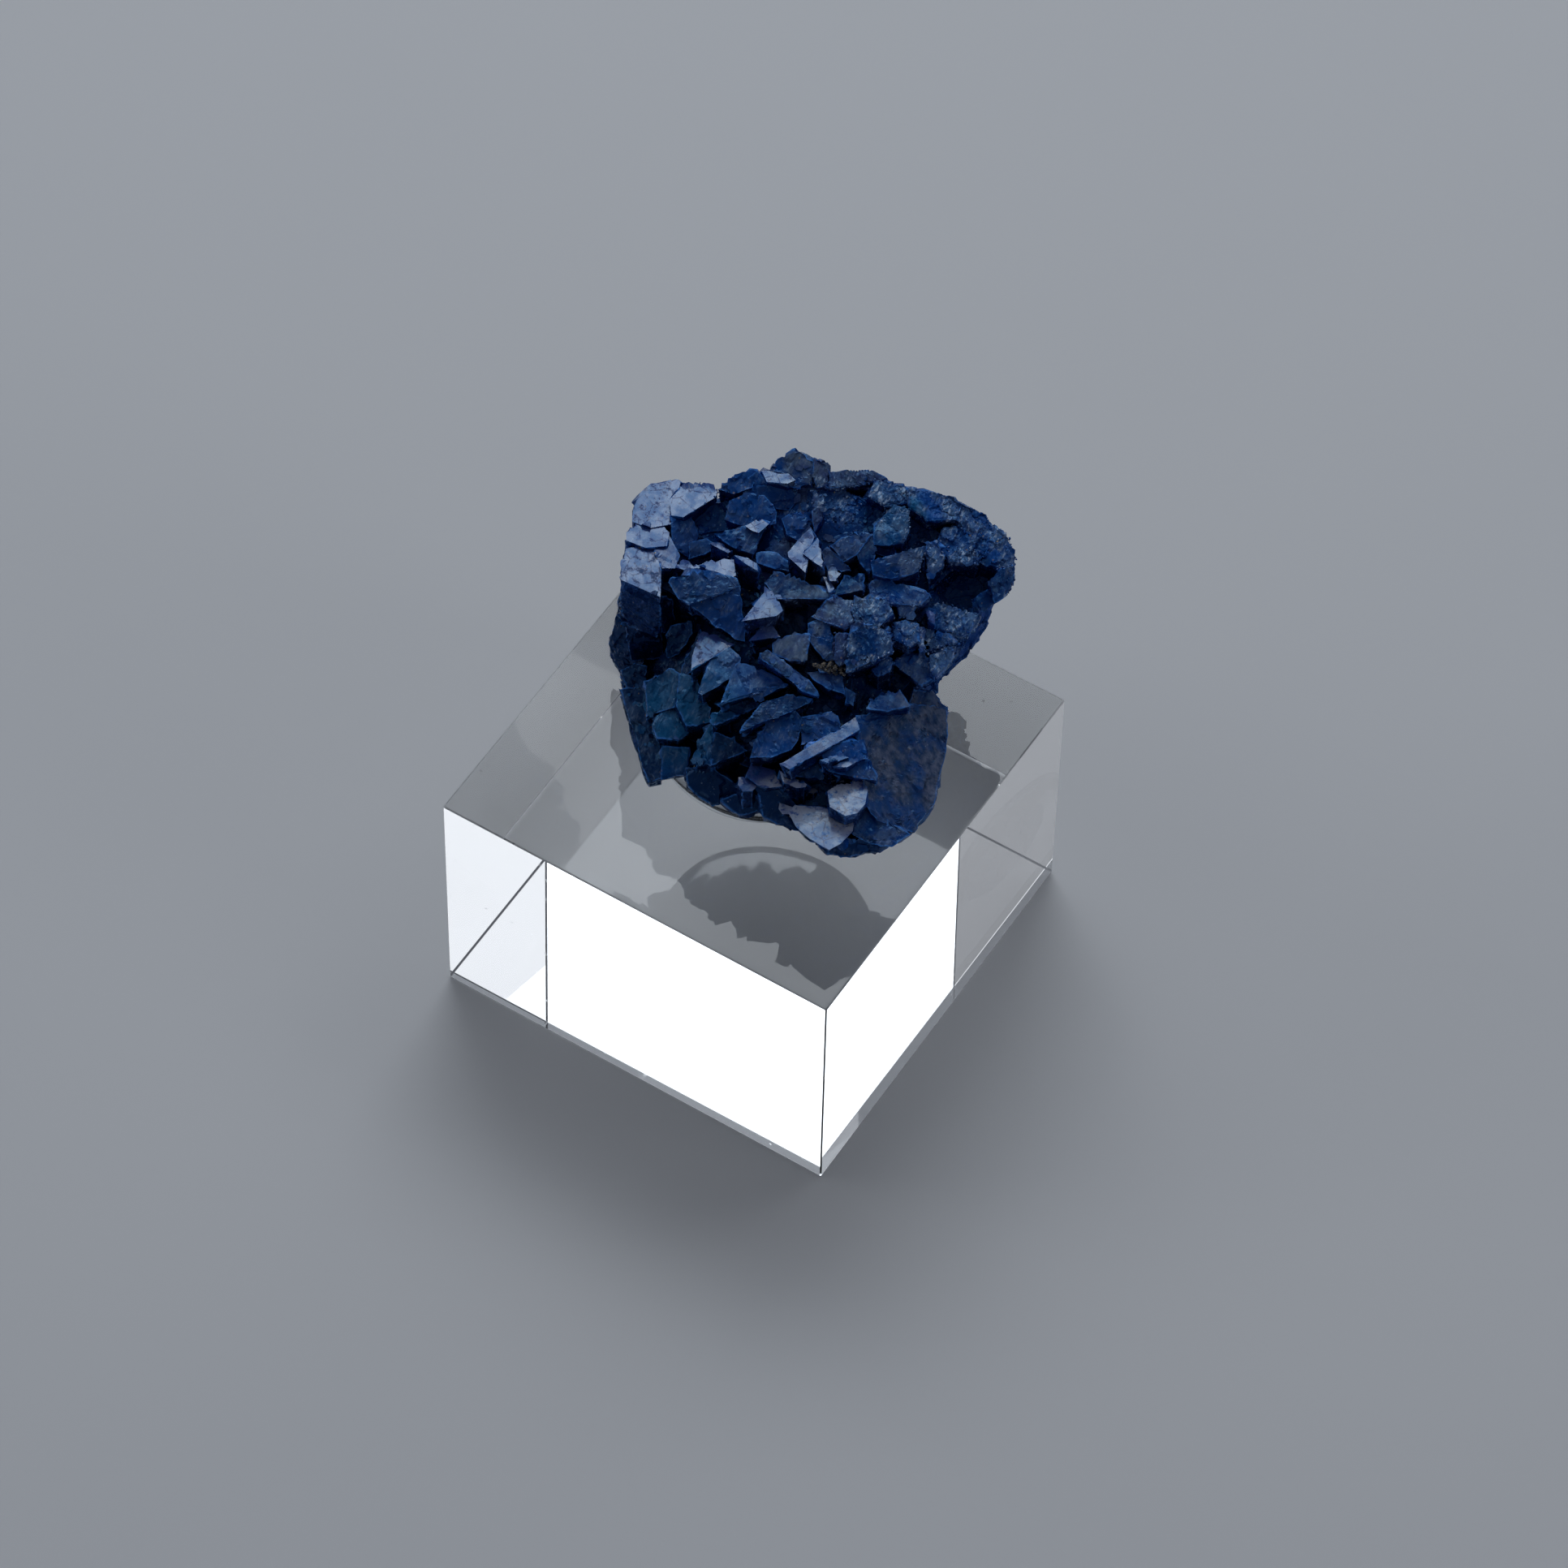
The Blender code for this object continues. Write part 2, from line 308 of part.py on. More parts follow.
EAST = (
    Crystal("druse crown", ((16.8, 29.5), (20.2, 28.9), (23.2, 27.7), (22.6, 25.8),
            (19.0, 25.6), (17.0, 27.0)), lean=0.55, turn=-0.1, lift=0.6, body=8.0, drop=0.4),
    Crystal("druse back", ((13.2, 30.3), (16.9, 29.6), (17.4, 27.6), (14.4, 27.2),
            (12.2, 28.4)), lean=0.6, turn=-0.02, lift=0.5, body=8.0, drop=0.4),
    Crystal("druse shoulder", ((22.8, 27.9), (25.6, 26.3), (28.0, 24.2), (26.4, 23.2),
            (23.2, 24.4), (22.0, 26.2)), lean=0.7, turn=-0.25, lift=0.5, body=8.0),
    Crystal("sugar face", ((20.8, 25.0), (24.6, 24.9), (26.2, 22.8), (24.8, 20.8),
            (21.6, 21.2), (20.2, 23.0)), lean=0.65, turn=-0.02, lift=1.0, body=8.0),
    Crystal("sugar rim", ((25.2, 24.6), (28.2, 23.9), (29.1, 21.8), (28.8, 19.6),
            (26.6, 20.4), (24.7, 21.2)), lean=0.8, turn=-0.3, lift=0.5, body=8.0),
    Crystal("east rim", ((28.9, 21.0), (29.0, 19.6), (28.1, 17.6), (26.6, 16.6), (26.0, 18.4),
            (26.8, 20.4)), lean=1.2, turn=-0.7, lift=1.2, body=7.0, drop=0.0),
    Crystal("cave lip", ((24.0, 16.9), (26.2, 18.2), (27.0, 16.9), (25.4, 15.8), (24.0, 16.0)),
            lean=1.3, turn=-0.3, lift=2.2, body=6.0, drop=0.0),
    Crystal("south-east lump", ((18.8, 15.4), (20.0, 16.8), (22.6, 16.2), (24.8, 15.4),
            (23.8, 13.4), (20.6, 13.2), (19.0, 13.8)), lean=0.6, turn=-0.2, lift=0.9),
    Crystal("south-east rim", ((22.0, 14.0), (24.6, 15.3), (25.2, 15.2), (24.6, 13.8),
            (23.0, 12.6), (21.4, 12.6)), lean=0.9, turn=-0.5, lift=0.5, drop=0.0),
    Crystal("small shard", ((18.9, 15.9), (19.9, 15.4), (20.0, 14.2), (19.3, 14.5)),
            lean=0.1, lift=1.6, body=6.0),
    Crystal("pale column", ((17.9, 13.8), (18.9, 13.7), (19.0, 11.2), (18.2, 11.1)),
            lean=0.3, lift=1.8, body=6.0),
    Crystal("east ledge", ((15.3, 14.6), (18.0, 14.2), (18.2, 12.2), (17.0, 11.6), (15.0, 12.6)),
            lean=0.7, turn=-0.1, lift=0.9, body=7.0),
    Crystal("east knob", ((18.9, 13.2), (21.2, 13.4), (22.4, 12.2), (21.0, 11.8), (19.0, 11.2)),
            lean=0.8, turn=-0.2, lift=1.2, body=7.0),
    Crystal("lower knob", ((19.2, 11.0), (21.8, 11.8), (22.2, 11.2), (21.9, 10.0), (21.0, 8.9),
            (19.9, 8.0), (19.2, 9.0)), lean=0.95, turn=-0.3, lift=0.9, body=8.0, drop=0.05),
    Crystal("lower lip", ((15.0, 10.2), (17.8, 11.0), (19.4, 10.6), (19.6, 8.2), (18.4, 7.5),
            (16.2, 9.0)), lean=1.0, turn=-0.1, lift=1.0, body=7.0, drop=0.15),
    Crystal("hanging tip", ((12.8, 9.2), (14.4, 10.6), (15.4, 10.2), (15.0, 9.0), (13.6, 8.4)),
            lean=0.8, turn=-0.1, lift=3.2, body=7.0),
)

SOUTH = (
    Crystal("flat side", ((11.3, 4.0), (14.0, 4.9), (17.4, 5.2), (21.4, 5.0), (21.3, 2.0),
            (20.8, -1.2), (19.9, -5.8), (17.6, -8.8), (13.8, -7.8), (12.2, -5.6),
            (13.4, -3.4), (12.2, -0.2)),
            lean=0.78, turn=-0.66, lift=0.3, body=8.0, drop=0.3, root=0.85),
    Crystal("side top", ((12.9, 5.9), (14.0, 6.8), (16.0, 6.8), (17.2, 5.1), (14.6, 4.6),
            (12.4, 4.8)), lean=0.5, turn=-0.35, lift=0.9, body=6.0),
    Crystal("side shoulder", ((17.0, 5.2), (17.6, 7.0), (19.5, 6.8), (21.4, 5.0), (20.6, 3.8)),
            lean=0.7, turn=-0.7, lift=0.5, body=6.0, drop=0.1),
    Crystal("stair top", ((2.8, -1.4), (4.6, -0.6), (6.4, 0.3), (8.2, 1.7), (11.2, 3.9),
            (11.6, 2.5), (10.0, 1.5), (8.4, 0.8), (6.4, -0.5), (3.8, -1.9)),
            lean=0.16, turn=0.0, lift=1.2, body=7.0, drop=0.7),
    Crystal("stair tread", ((7.2, -0.9), (9.4, -0.3), (10.4, -0.6), (8.4, -1.3)),
            lean=0.1, lift=1.5, body=5.0, drop=0.8),
    Crystal("low tread", ((8.6, -1.6), (10.4, -1.0), (11.6, -0.9), (10.2, -1.7)),
            lean=0.1, lift=1.6, body=5.0, drop=0.8),
    Crystal("stair middle", ((7.2, -0.1), (9.6, 1.1), (12.0, 1.4), (12.4, -0.8), (10.0, -1.0),
            (8.0, -1.3)), lean=0.75, lift=0.8, body=7.0),
    Crystal("stair low", ((7.4, -1.4), (10.0, -0.7), (12.6, -0.9), (13.5, -3.2), (11.0, -2.8),
            (8.2, -2.1)), lean=0.8, lift=0.9, body=7.0),
    Crystal("bright shelf", ((8.0, -4.2), (9.2, -3.4), (12.0, -3.2), (12.5, -4.2), (12.2, -5.8),
            (11.3, -6.8), (10.0, -7.1), (8.3, -6.1)), lift=1.1, body=6.0, drop=0.8),
    Crystal("bright lip", ((3.6, -6.6), (4.4, -5.9), (7.2, -6.1), (9.4, -7.0), (11.1, -7.2),
            (10.8, -8.8), (9.5, -10.2), (8.2, -10.9), (6.0, -9.6), (4.6, -8.4)),
            lift=1.0, body=6.0, drop=0.1, root=0.85),
    Crystal("dark lip", ((7.0, -10.3), (8.6, -10.8), (12.0, -9.6), (15.0, -10.4), (13.8, -11.1),
            (10.4, -11.5), (8.0, -11.2)), lean=1.7, lift=0.2, body=6.0, drop=0.0),
    Crystal("rough corner", ((11.0, -7.0), (12.2, -6.0), (13.4, -7.6), (17.2, -9.2),
            (15.2, -10.5), (12.6, -10.2), (10.8, -9.2)),
            lean=0.7, turn=-0.15, lift=0.5, body=7.0, drop=0.05),
    Crystal("lip step", ((2.7, -5.6), (4.2, -6.1), (4.2, -6.9), (3.0, -6.9), (2.6, -6.3)),
            lift=1.1, body=5.0, drop=0.3),
)

SOUTH_WEST = (
    Crystal("rough mass", ((1.0, 3.0), (2.0, 4.2), (4.3, 4.9), (5.2, 3.8), (5.0, 1.5),
            (4.0, 0.2), (1.8, -0.6), (-0.6, -0.7), (-0.2, 1.0)),
            lean=0.7, turn=0.1, lift=0.9, body=8.0),
    Crystal("rough mass side", ((5.0, 4.0), (9.0, 4.4), (9.6, 2.6), (8.0, 1.6), (5.2, 0.8)),
            lean=0.65, turn=0.0, lift=0.3, body=7.0),
    Crystal("navy facet", ((-4.4, 2.1), (-2.2, 1.2), (-0.9, 0.1), (-2.9, -0.8), (-4.9, -1.4),
            (-4.8, 0.8)), lean=1.0, turn=-0.1, lift=0.9, body=7.0),
    Crystal("navy side", ((-5.1, 2.9), (-4.6, 1.2), (-4.9, -1.4), (-6.6, -1.6), (-7.1, -0.4),
            (-5.9, 0.8)), lean=0.75, turn=0.55, lift=1.0, body=7.0),
    Crystal("level tooth", ((-0.4, -0.9), (2.0, -2.1), (3.0, -3.8), (1.2, -4.0), (0.2, -3.6),
            (-1.0, -2.6)), lean=0.1, lift=1.2, body=6.0, drop=0.8),
    Crystal("level button", ((-1.8, -2.9), (-0.1, -2.8), (0.2, -3.8), (-0.3, -4.3),
            (-1.4, -4.3), (-1.9, -3.6)), lift=1.5, body=5.0, drop=0.85),
    Crystal("bright splinter", ((2.8, -2.7), (3.8, -2.9), (5.9, -3.3), (5.6, -3.9),
            (4.6, -4.0), (3.2, -3.4)), lift=1.3, body=6.0, drop=0.8),
    Crystal("ridge splinter", ((3.2, -1.9), (5.0, -0.9), (7.0, -0.8), (7.6, -2.6), (5.6, -2.9),
            (3.6, -2.6)), lean=0.8, lift=0.6, body=6.0),
    Crystal("teal corner", ((-12.2, 7.8), (-9.6, 9.1), (-8.2, 8.4), (-8.0, 6.8), (-9.0, 5.0),
            (-12.0, 4.0)), lean=0.9, turn=0.45, lift=1.0, body=8.0),
    Crystal("teal face", ((-8.4, 8.6), (-6.6, 8.2), (-4.9, 4.6), (-4.8, 3.2), (-7.6, 3.0),
            (-8.8, 5.4)), lean=0.75, turn=0.2, lift=0.9, body=8.0),
    Crystal("grey druse", ((-10.8, 4.2), (-8.8, 5.2), (-7.4, 4.0), (-7.6, 2.2), (-8.6, 1.4),
            (-10.8, 1.6), (-11.4, 3.0)), lean=0.7, turn=0.1, lift=1.4, body=7.0),
    Crystal("slate edge", ((-14.9, 6.9), (-12.2, 7.7), (-11.9, 4.0), (-10.4, 0.0),
            (-10.3, -2.6), (-11.8, -3.4), (-12.4, -2.0), (-13.2, 1.4), (-14.3, 4.6)),
            lean=0.95, turn=0.75, lift=0.6, body=8.0, drop=0.3, root=0.9),
    Crystal("under slate", ((-10.4, 0.6), (-7.4, 0.4), (-7.6, -2.3), (-8.6, -2.3),
            (-10.4, -2.9)), lean=1.3, turn=0.1, lift=0.8, body=7.0, drop=0.05),
    Crystal("under keel", ((-7.9, -1.6), (-4.8, -1.6), (-1.6, -3.8), (-1.0, -5.2),
            (-3.6, -5.6), (-5.2, -5.7), (-6.4, -5.0), (-7.4, -3.8)),
            lean=1.35, lift=0.8, body=8.0, drop=0.05),
    Crystal("under keel right", ((-3.8, -5.4), (-1.4, -4.4), (0.6, -4.4), (1.6, -5.8),
            (0.2, -6.3), (-0.6, -6.8), (-1.4, -6.9), (-2.4, -6.5)),
            lean=1.4, lift=0.4, body=7.0, drop=0.05),
    Crystal("front keel", ((0.4, -4.2), (3.2, -4.0), (4.6, -6.0), (5.6, -8.8), (4.4, -8.4),
            (2.4, -8.0), (0.9, -7.2)), lean=1.35, lift=0.2, body=7.0, drop=0.05),
)

DISPLAY_CRYSTALS = (
    PLATEAU + BOWL + SUMMIT + UPPER_MIDDLE + BLADES + MIDDLE + EAST + SOUTH + SOUTH_WEST
)


def display_axes():
    """The world directions of u, v and w."""
    azimuth = math.radians(DISPLAY_AZIMUTH)
    elevation = math.radians(DISPLAY_ELEVATION)
    out = Vector((
        math.sin(azimuth) * math.cos(elevation),
        -math.cos(azimuth) * math.cos(elevation),
        math.sin(elevation),
    ))
    right = Vector((0.0, 0.0, 1.0)).cross(out).normalized()
    turn = Matrix.Rotation(math.radians(DISPLAY_ROLL), 3, out)
    right = turn @ right
    return right, out.cross(right), out


RIGHT, UP, OUT = display_axes()
DOWN = Vector((0.0, 0.0, -1.0))


def shown(u, v, w):
    """The world point, in mm, that shows at (u, v) and stands w out of the display plane."""
    nearer = 1.0 - w / EYE_DISTANCE
    flat = (RIGHT * u + UP * v) * nearer
    return Vector((0.0, 0.0, BLOCK_HEIGHT)) + flat + OUT * w


def display_place(point):
    """(u, v, w) of a world point: the reverse of shown."""
    local = point - Vector((0.0, 0.0, BLOCK_HEIGHT))
    out = local.dot(OUT)
    nearer = 1.0 - out / EYE_DISTANCE
    return local.dot(RIGHT) / nearer, local.dot(UP) / nearer, out


def in_outline(u, v):
    """True where a line from (u, v) to the right crosses the outline an odd number of times."""
    inside = False
    for (u0, v0), (u1, v1) in zip(OUTLINE, OUTLINE[1:] + OUTLINE[:1]):
        if (v0 > v) != (v1 > v) and u < u0 + (u1 - u0) * (v - v0) / (v1 - v0):
            inside = not inside
    return inside


def surface_depth(u, v):
    """w of the cluster's general surface: the points of SURFACE, each weighted by nearness."""
    total = 0.0
    weight_sum = 0.0
    for point_u, point_v, depth in SURFACE:
        square = (u - point_u) ** 2 + (v - point_v) ** 2 + 0.6
        weight = square ** -2
        total += weight * depth
        weight_sum += weight
    return total / weight_sum


def hull(points):
    """A closed convex mesh round points given in mm."""
    mesh = bmesh.new()
    for point in points:
        mesh.verts.new(point * METRES)
    found = bmesh.ops.convex_hull(mesh, input=mesh.verts)
    inside = [item for item in found["geom_interior"] if isinstance(item, bmesh.types.BMVert)]
    bmesh.ops.delete(mesh, geom=inside, context="VERTS")
    bmesh.ops.recalc_face_normals(mesh, faces=mesh.faces)
    return mesh


def drawn_in(point):
    """The point moved, where it has to be, to lie over the block and clear of its top."""
    x = max(-FARTHEST_OUT, min(FARTHEST_OUT, point.x))
    y = max(-FARTHEST_OUT, min(FARTHEST_OUT, point.y))
    return Vector((x, y, max(point.z, BLOCK_HEIGHT + LOWEST)))


def crystal_hull(crystal):
    """The crystal's facet in its place, joined to a smaller buried outline behind it."""
    count = len(crystal.corners)
    middle_u = sum(corner[0] for corner in crystal.corners) / count
    middle_v = sum(corner[1] for corner in crystal.corners) / count
    depth = surface_depth(middle_u, middle_v) + crystal.lift
    rise = LEVEL_SLOPE * (1.0 - crystal.lean)
    facet = [
        shown(u, v, depth + crystal.turn * (u - middle_u) + rise * (v - middle_v))
        for u, v in crystal.corners
    ]
    centre = sum(facet, Vector()) / count
    inward = (-OUT).lerp(DOWN, crystal.drop) * crystal.body
    buried = [centre + (point - centre) * crystal.root + inward for point in facet]
    return hull([drawn_in(point) for point in facet + buried])


def ring(radius, height, sides, centre=PAD_CENTRE, start=0.0):
    """Points of a level circle round the pad's centre, height over the block's top."""
    steps = [start + 2.0 * math.pi * step / sides for step in range(sides)]
    return [
        Vector((
            centre[0] + radius * math.cos(angle),
            centre[1] + radius * math.sin(angle),
            BLOCK_HEIGHT + height,
        ))
        for angle in steps
    ]


def foot_hull():
    """The stump on which the cluster stands on its pad, wider at its top."""
    low = GAP + PAD_THICKNESS + GAP
    return hull(
        ring(FOOT_RADIUS - 1.2, low, 11)
        + ring(FOOT_RADIUS, low + 1.4, 11, start=0.2)
        + ring(FOOT_RADIUS + 2.6, FOOT_HEIGHT, 11, start=0.1)
    )


def mass_hull(corners):
    return hull([Vector((x, y, BLOCK_HEIGHT + height)) for x, y, height in corners])


def outline_point(share, corner):
    """A point of the outline drawn in towards the skin's centre, as (u, v)."""
    u = SKIN_CENTRE[0] + (OUTLINE[corner][0] - SKIN_CENTRE[0]) * share * SKIN_INSET
    v = SKIN_CENTRE[1] + (OUTLINE[corner][1] - SKIN_CENTRE[1]) * share * SKIN_INSET
    return u, v


def skin_mesh():
    """A closed plate under the display side: its front follows the general surface, sunk by
    CORE_DEPTH, in rings of the outline's points, and its back lies SKIN_DEPTH behind it."""
    mesh = bmesh.new()
    corners = len(OUTLINE)
    layers = []
    for sunk, far in ((CORE_DEPTH, 0.0), (SKIN_DEPTH, 1.0)):
        centre_depth = surface_depth(*SKIN_CENTRE) - sunk
        centre = mesh.verts.new(shown(*SKIN_CENTRE, centre_depth) * METRES)
        rings = []
        for share in SKIN_RINGS:
            spread = share * (1.0 - 0.1 * far)
            row = []
            for corner in range(corners):
                u, v = outline_point(spread, corner)
                depth = surface_depth(u, v) - sunk - 1.2 * share ** 4
                row.append(mesh.verts.new(drawn_in(shown(u, v, depth)) * METRES))
            rings.append(row)
        for step in range(corners):
            after = (step + 1) % corners
            mesh.faces.new((centre, rings[0][step], rings[0][after]))
            for inner, outer in zip(rings, rings[1:]):
                mesh.faces.new((inner[step], outer[step], outer[after], inner[after]))
        layers.append(rings[-1])
    for step in range(corners):
        after = (step + 1) % corners
        mesh.faces.new((layers[0][step], layers[1][step], layers[1][after], layers[0][after]))
    bmesh.ops.recalc_face_normals(mesh, faces=mesh.faces)
    bmesh.ops.triangulate(mesh, faces=mesh.faces)
    return mesh


def wedge_points(width, thickness, length, tip, slant):
    """An elongated hexagonal prism along +Z that ends in a slanting roof edge."""
    half = width / 2.0
    thin = thickness / 2.0
    section = ((-half, 0.0), (-half * 0.6, -thin), (half * 0.6, -thin),
               (half, 0.0), (half * 0.6, thin), (-half * 0.6, thin))
    base = [Vector((x * 0.8, y * 0.8, -length)) for x, y in section]
    shoulder = [Vector((x, y, -tip + slant * x)) for x, y in section]
    roof = [Vector((x * 0.55, 0.0, slant * x * 0.5)) for x in (-half, half)]
    return base + shoulder + roof


def placed_wedge(point, normal, draw, size):
    """The corners of a wedge crystal that stands out of the surface, leaning off its normal."""
    wander = Vector([draw.uniform(-1.0, 1.0) for _ in range(3)]).normalized()
    axis = (normal + wander * draw.uniform(0.15, 0.7) + Vector((0, 0, 0.15))).normalized()
    side = axis.cross(Vector((draw.uniform(-1, 1), draw.uniform(-1, 1), 0.4))).normalized()
    frame = Matrix((side, axis.cross(side), axis)).transposed()
    width = size * draw.uniform(0.8, 1.5)
    points = wedge_points(
        width, width * draw.uniform(0.35, 0.6), size * 1.5, size * draw.uniform(0.25, 0.5),
        draw.uniform(-0.35, 0.35),
    )
    out = size * draw.uniform(0.1, 0.5)
    return [point + frame @ corner + axis * out for corner in points]


def tucked_in(corners, sunk):
    """True where every corner lies over the block, inside the outline seen from the display
    side, and sunk below the general surface."""
    for corner in corners:
        u, v, w = display_place(corner)
        if corner != drawn_in(corner) or not in_outline(u, v):
            return False
        if w > surface_depth(u, v) - sunk:
            return False
    return True


def mesh_object(name, mesh):
    """A linked object that holds the mesh, which is freed."""
    data = bpy.data.meshes.new(name)
    mesh.to_mesh(data)
    mesh.free()
    thing = bpy.data.objects.new(name, data)
    bpy.context.scene.collection.objects.link(thing)
    return thing


def fused(name, meshes):
    """One solid: the first mesh with all the others joined to it by a Boolean union."""
    body = mesh_object(name, meshes[0])
    group = bpy.data.collections.new(name + "_parts")
    bpy.context.scene.collection.children.link(group)
    for number, mesh in enumerate(meshes[1:]):
        part = mesh_object(f"{name}_part_{number}", mesh)
        bpy.context.scene.collection.objects.unlink(part)
        group.objects.link(part)
    union = body.modifiers.new("union", "BOOLEAN")
    union.operation = "UNION"
    union.operand_type = "COLLECTION"
    union.collection = group
    graph = bpy.context.evaluated_depsgraph_get()
    joined = bpy.data.meshes.new_from_object(body.evaluated_get(graph))
    body.modifiers.clear()
    keep_outer_shell(joined)
    body.data = joined
    for part in list(group.objects):
        bpy.data.objects.remove(part)
    bpy.data.collections.remove(group)
    return body


def shells(mesh):
    """The mesh's separate shells, each as a list of its faces."""
    left = set(mesh.faces)
    found = []
    while left:
        front = [left.pop()]
        shell = []
        while front:
            face = front.pop()
            shell.append(face)
            for edge in face.edges:
                near = [other for other in edge.link_faces if other in left]
                left.difference_update(near)
                front.extend(near)
        found.append(shell)
    return found


def keep_outer_shell(data):
    """Fills the sealed hollows between fused crystals, by deleting every shell but the outer,
    and makes one facet of triangles that lie in one plane."""
    mesh = bmesh.new()
    mesh.from_mesh(data)
    inner = sorted(shells(mesh), key=len)[:-1]
    spare = [face for shell in inner for face in shell]
    bmesh.ops.delete(mesh, geom=spare, context="FACES")
    bmesh.ops.dissolve_limit(
        mesh, angle_limit=FLAT_WITHIN, verts=mesh.verts, edges=mesh.edges
    )
    bmesh.ops.triangulate(mesh, faces=mesh.faces)
    mesh.to_mesh(data)
    mesh.free()


def on_display(point, normal):
    """True where the display crystals already cover the surface."""
    return normal.dot(OUT) > 0.25 and point.z > BLOCK_HEIGHT


def side_crystals(core, draw):
    """Wedge crystals on the sides, back and underside of the core, in mm world space."""
    tree = BVHTree.FromObject(core, bpy.context.evaluated_depsgraph_get())
    middle = Vector((0.5, 4.5, BLOCK_HEIGHT + 15.0))
    grown = []
    while len(grown) < SIDE_CRYSTALS:
        way = Vector([draw.gauss(0.0, 1.0) for _ in range(3)]).normalized()
        start = middle + way * 60.0
        hit, normal, _, _ = tree.ray_cast(start * METRES, -way)
        if hit is None:
            continue
        point = hit / METRES
        low = point.z < BLOCK_HEIGHT + FOOT_HEIGHT
        if on_display(point, normal) or low:
            continue
        corners = placed_wedge(point, normal, draw, draw.uniform(2.6, 5.2))
        if tucked_in(corners, SIDE_SUNK):
            grown.append(hull(corners))
    return grown


def underside_crystals(core, draw):
    """Low wedges under the overhanging rim, pointing outwards more than down."""
    tree = BVHTree.FromObject(core, bpy.context.evaluated_depsgraph_get())
    grown = []
    for step in range(RIM_CRYSTALS):
        angle = 2.0 * math.pi * (step + draw.random()) / RIM_CRYSTALS
        reach = draw.uniform(11.0, 16.0)
        start = Vector((
            PAD_CENTRE[0] + reach * math.cos(angle),
            PAD_CENTRE[1] + reach * math.sin(angle),
            BLOCK_HEIGHT + 0.1,
        ))
        hit, normal, _, _ = tree.ray_cast(start * METRES, Vector((0.0, 0.0, 1.0)))
        if hit is None or hit.z / METRES > BLOCK_HEIGHT + 14.0:
            continue
        lean = Vector((math.cos(angle), math.sin(angle), 0.3))
        axis = (normal * 0.3 + lean).normalized()
        corners = placed_wedge(hit / METRES, axis, draw, draw.uniform(2.2, 3.6))
        if tucked_in(corners, SIDE_SUNK):
            grown.append(hull(corners))
    return grown


def fill_crystals(draw):
    """Small wedges on the display side that break up the ground between the named ones."""
    grown = []
    while len(grown) < FILL_CRYSTALS:
        corner = draw.randrange(len(OUTLINE))
        share = math.sqrt(draw.uniform(0.02, 0.92))
        u, v = outline_point(share, corner)
        u += draw.uniform(-1.5, 1.5)
        v += draw.uniform(-1.5, 1.5)
        point = shown(u, v, surface_depth(u, v) - 1.8)
        corners = placed_wedge(point, OUT, draw, draw.uniform(1.8, 3.2))
        if tucked_in(corners, FILL_SUNK):
            grown.append(hull(corners))
    return grown


def finish_material(thing, colour, roughness, transmission=0.0, ior=1.5):
    """A Principled material of that colour, roughness and share of light let through."""
    finish = bpy.data.materials.new(thing.name)
    finish.use_nodes = True
    shader = finish.node_tree.nodes["Principled BSDF"]
    shader.inputs["Base Color"].default_value = colour
    shader.inputs["Roughness"].default_value = roughness
    shader.inputs["Transmission Weight"].default_value = transmission
    shader.inputs["IOR"].default_value = ior
    thing.data.materials.clear()
    thing.data.materials.append(finish)


def build_cluster():
    """The azurite: masses, skin and foot fused first, then every crystal fused to them."""
    draw = random.Random(SEED)
    core = fused("core", [foot_hull(), skin_mesh()] + [mass_hull(m) for m in MASSES])
    crystals = [crystal_hull(crystal) for crystal in DISPLAY_CRYSTALS]
    crystals += side_crystals(core, draw)
    crystals += underside_crystals(core, draw)
    crystals += fill_crystals(draw)
    ground = bmesh.new()
    ground.from_mesh(core.data)
    bpy.data.objects.remove(core)
    cluster = fused("azurite_cluster", [ground] + crystals)
    finish_material(cluster, AZURITE_BLUE, 0.3)


def build_block():
    """The display block: a square prism of clear acrylic with narrow polished chamfers."""
    mesh = bmesh.new()
    size = Matrix.Diagonal((BLOCK_SIDE, BLOCK_SIDE, BLOCK_HEIGHT, 1.0))
    middle = Matrix.Translation((0.0, 0.0, BLOCK_HEIGHT / 2.0))
    bmesh.ops.create_cube(mesh, size=1.0, matrix=Matrix.Scale(METRES, 4) @ middle @ size)
    bmesh.ops.bevel(
        mesh, geom=mesh.edges[:], offset=BLOCK_CHAMFER * METRES, segments=1, affect="EDGES"
    )
    block = mesh_object("acrylic_block", mesh)
    finish_material(block, (0.96, 0.98, 1.0, 1.0), 0.02, transmission=1.0, ior=1.49)


def build_pad():
    """The putty pad: a thin disc with a rounded rim between the block and the stump."""
    low = GAP
    high = GAP + PAD_THICKNESS
    inner = PAD_RADIUS - PAD_ROUNDING
    pad = mesh_object("clear_putty_pad", hull(
        ring(inner, low, PAD_SIDES)
        + ring(PAD_RADIUS, low + PAD_ROUNDING, PAD_SIDES)
        + ring(PAD_RADIUS, high - PAD_ROUNDING, PAD_SIDES)
        + ring(inner, high, PAD_SIDES)
    ))
    finish_material(pad, (0.93, 0.95, 0.96, 1.0), 0.25, transmission=1.0, ior=1.42)


def main():
    for thing in list(bpy.data.objects):
        bpy.data.objects.remove(thing)
    build_cluster()
    build_pad()
    build_block()


main()
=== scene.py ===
"""Dresses the azurite specimen: its crystal cluster, its putty pad and its clear block.

The row frame is in metres, +Z up, with its origin at the centre of the block's underside.
Sizes in the dataclasses below are in millimetres unless they say otherwise.
"""

import logging
import math
from dataclasses import dataclass, field, replace
from enum import Enum
from typing import Any, Callable, Sequence

import bmesh
import bpy
import numpy as np
from mathutils import Matrix, Vector
from mathutils.bvhtree import BVHTree


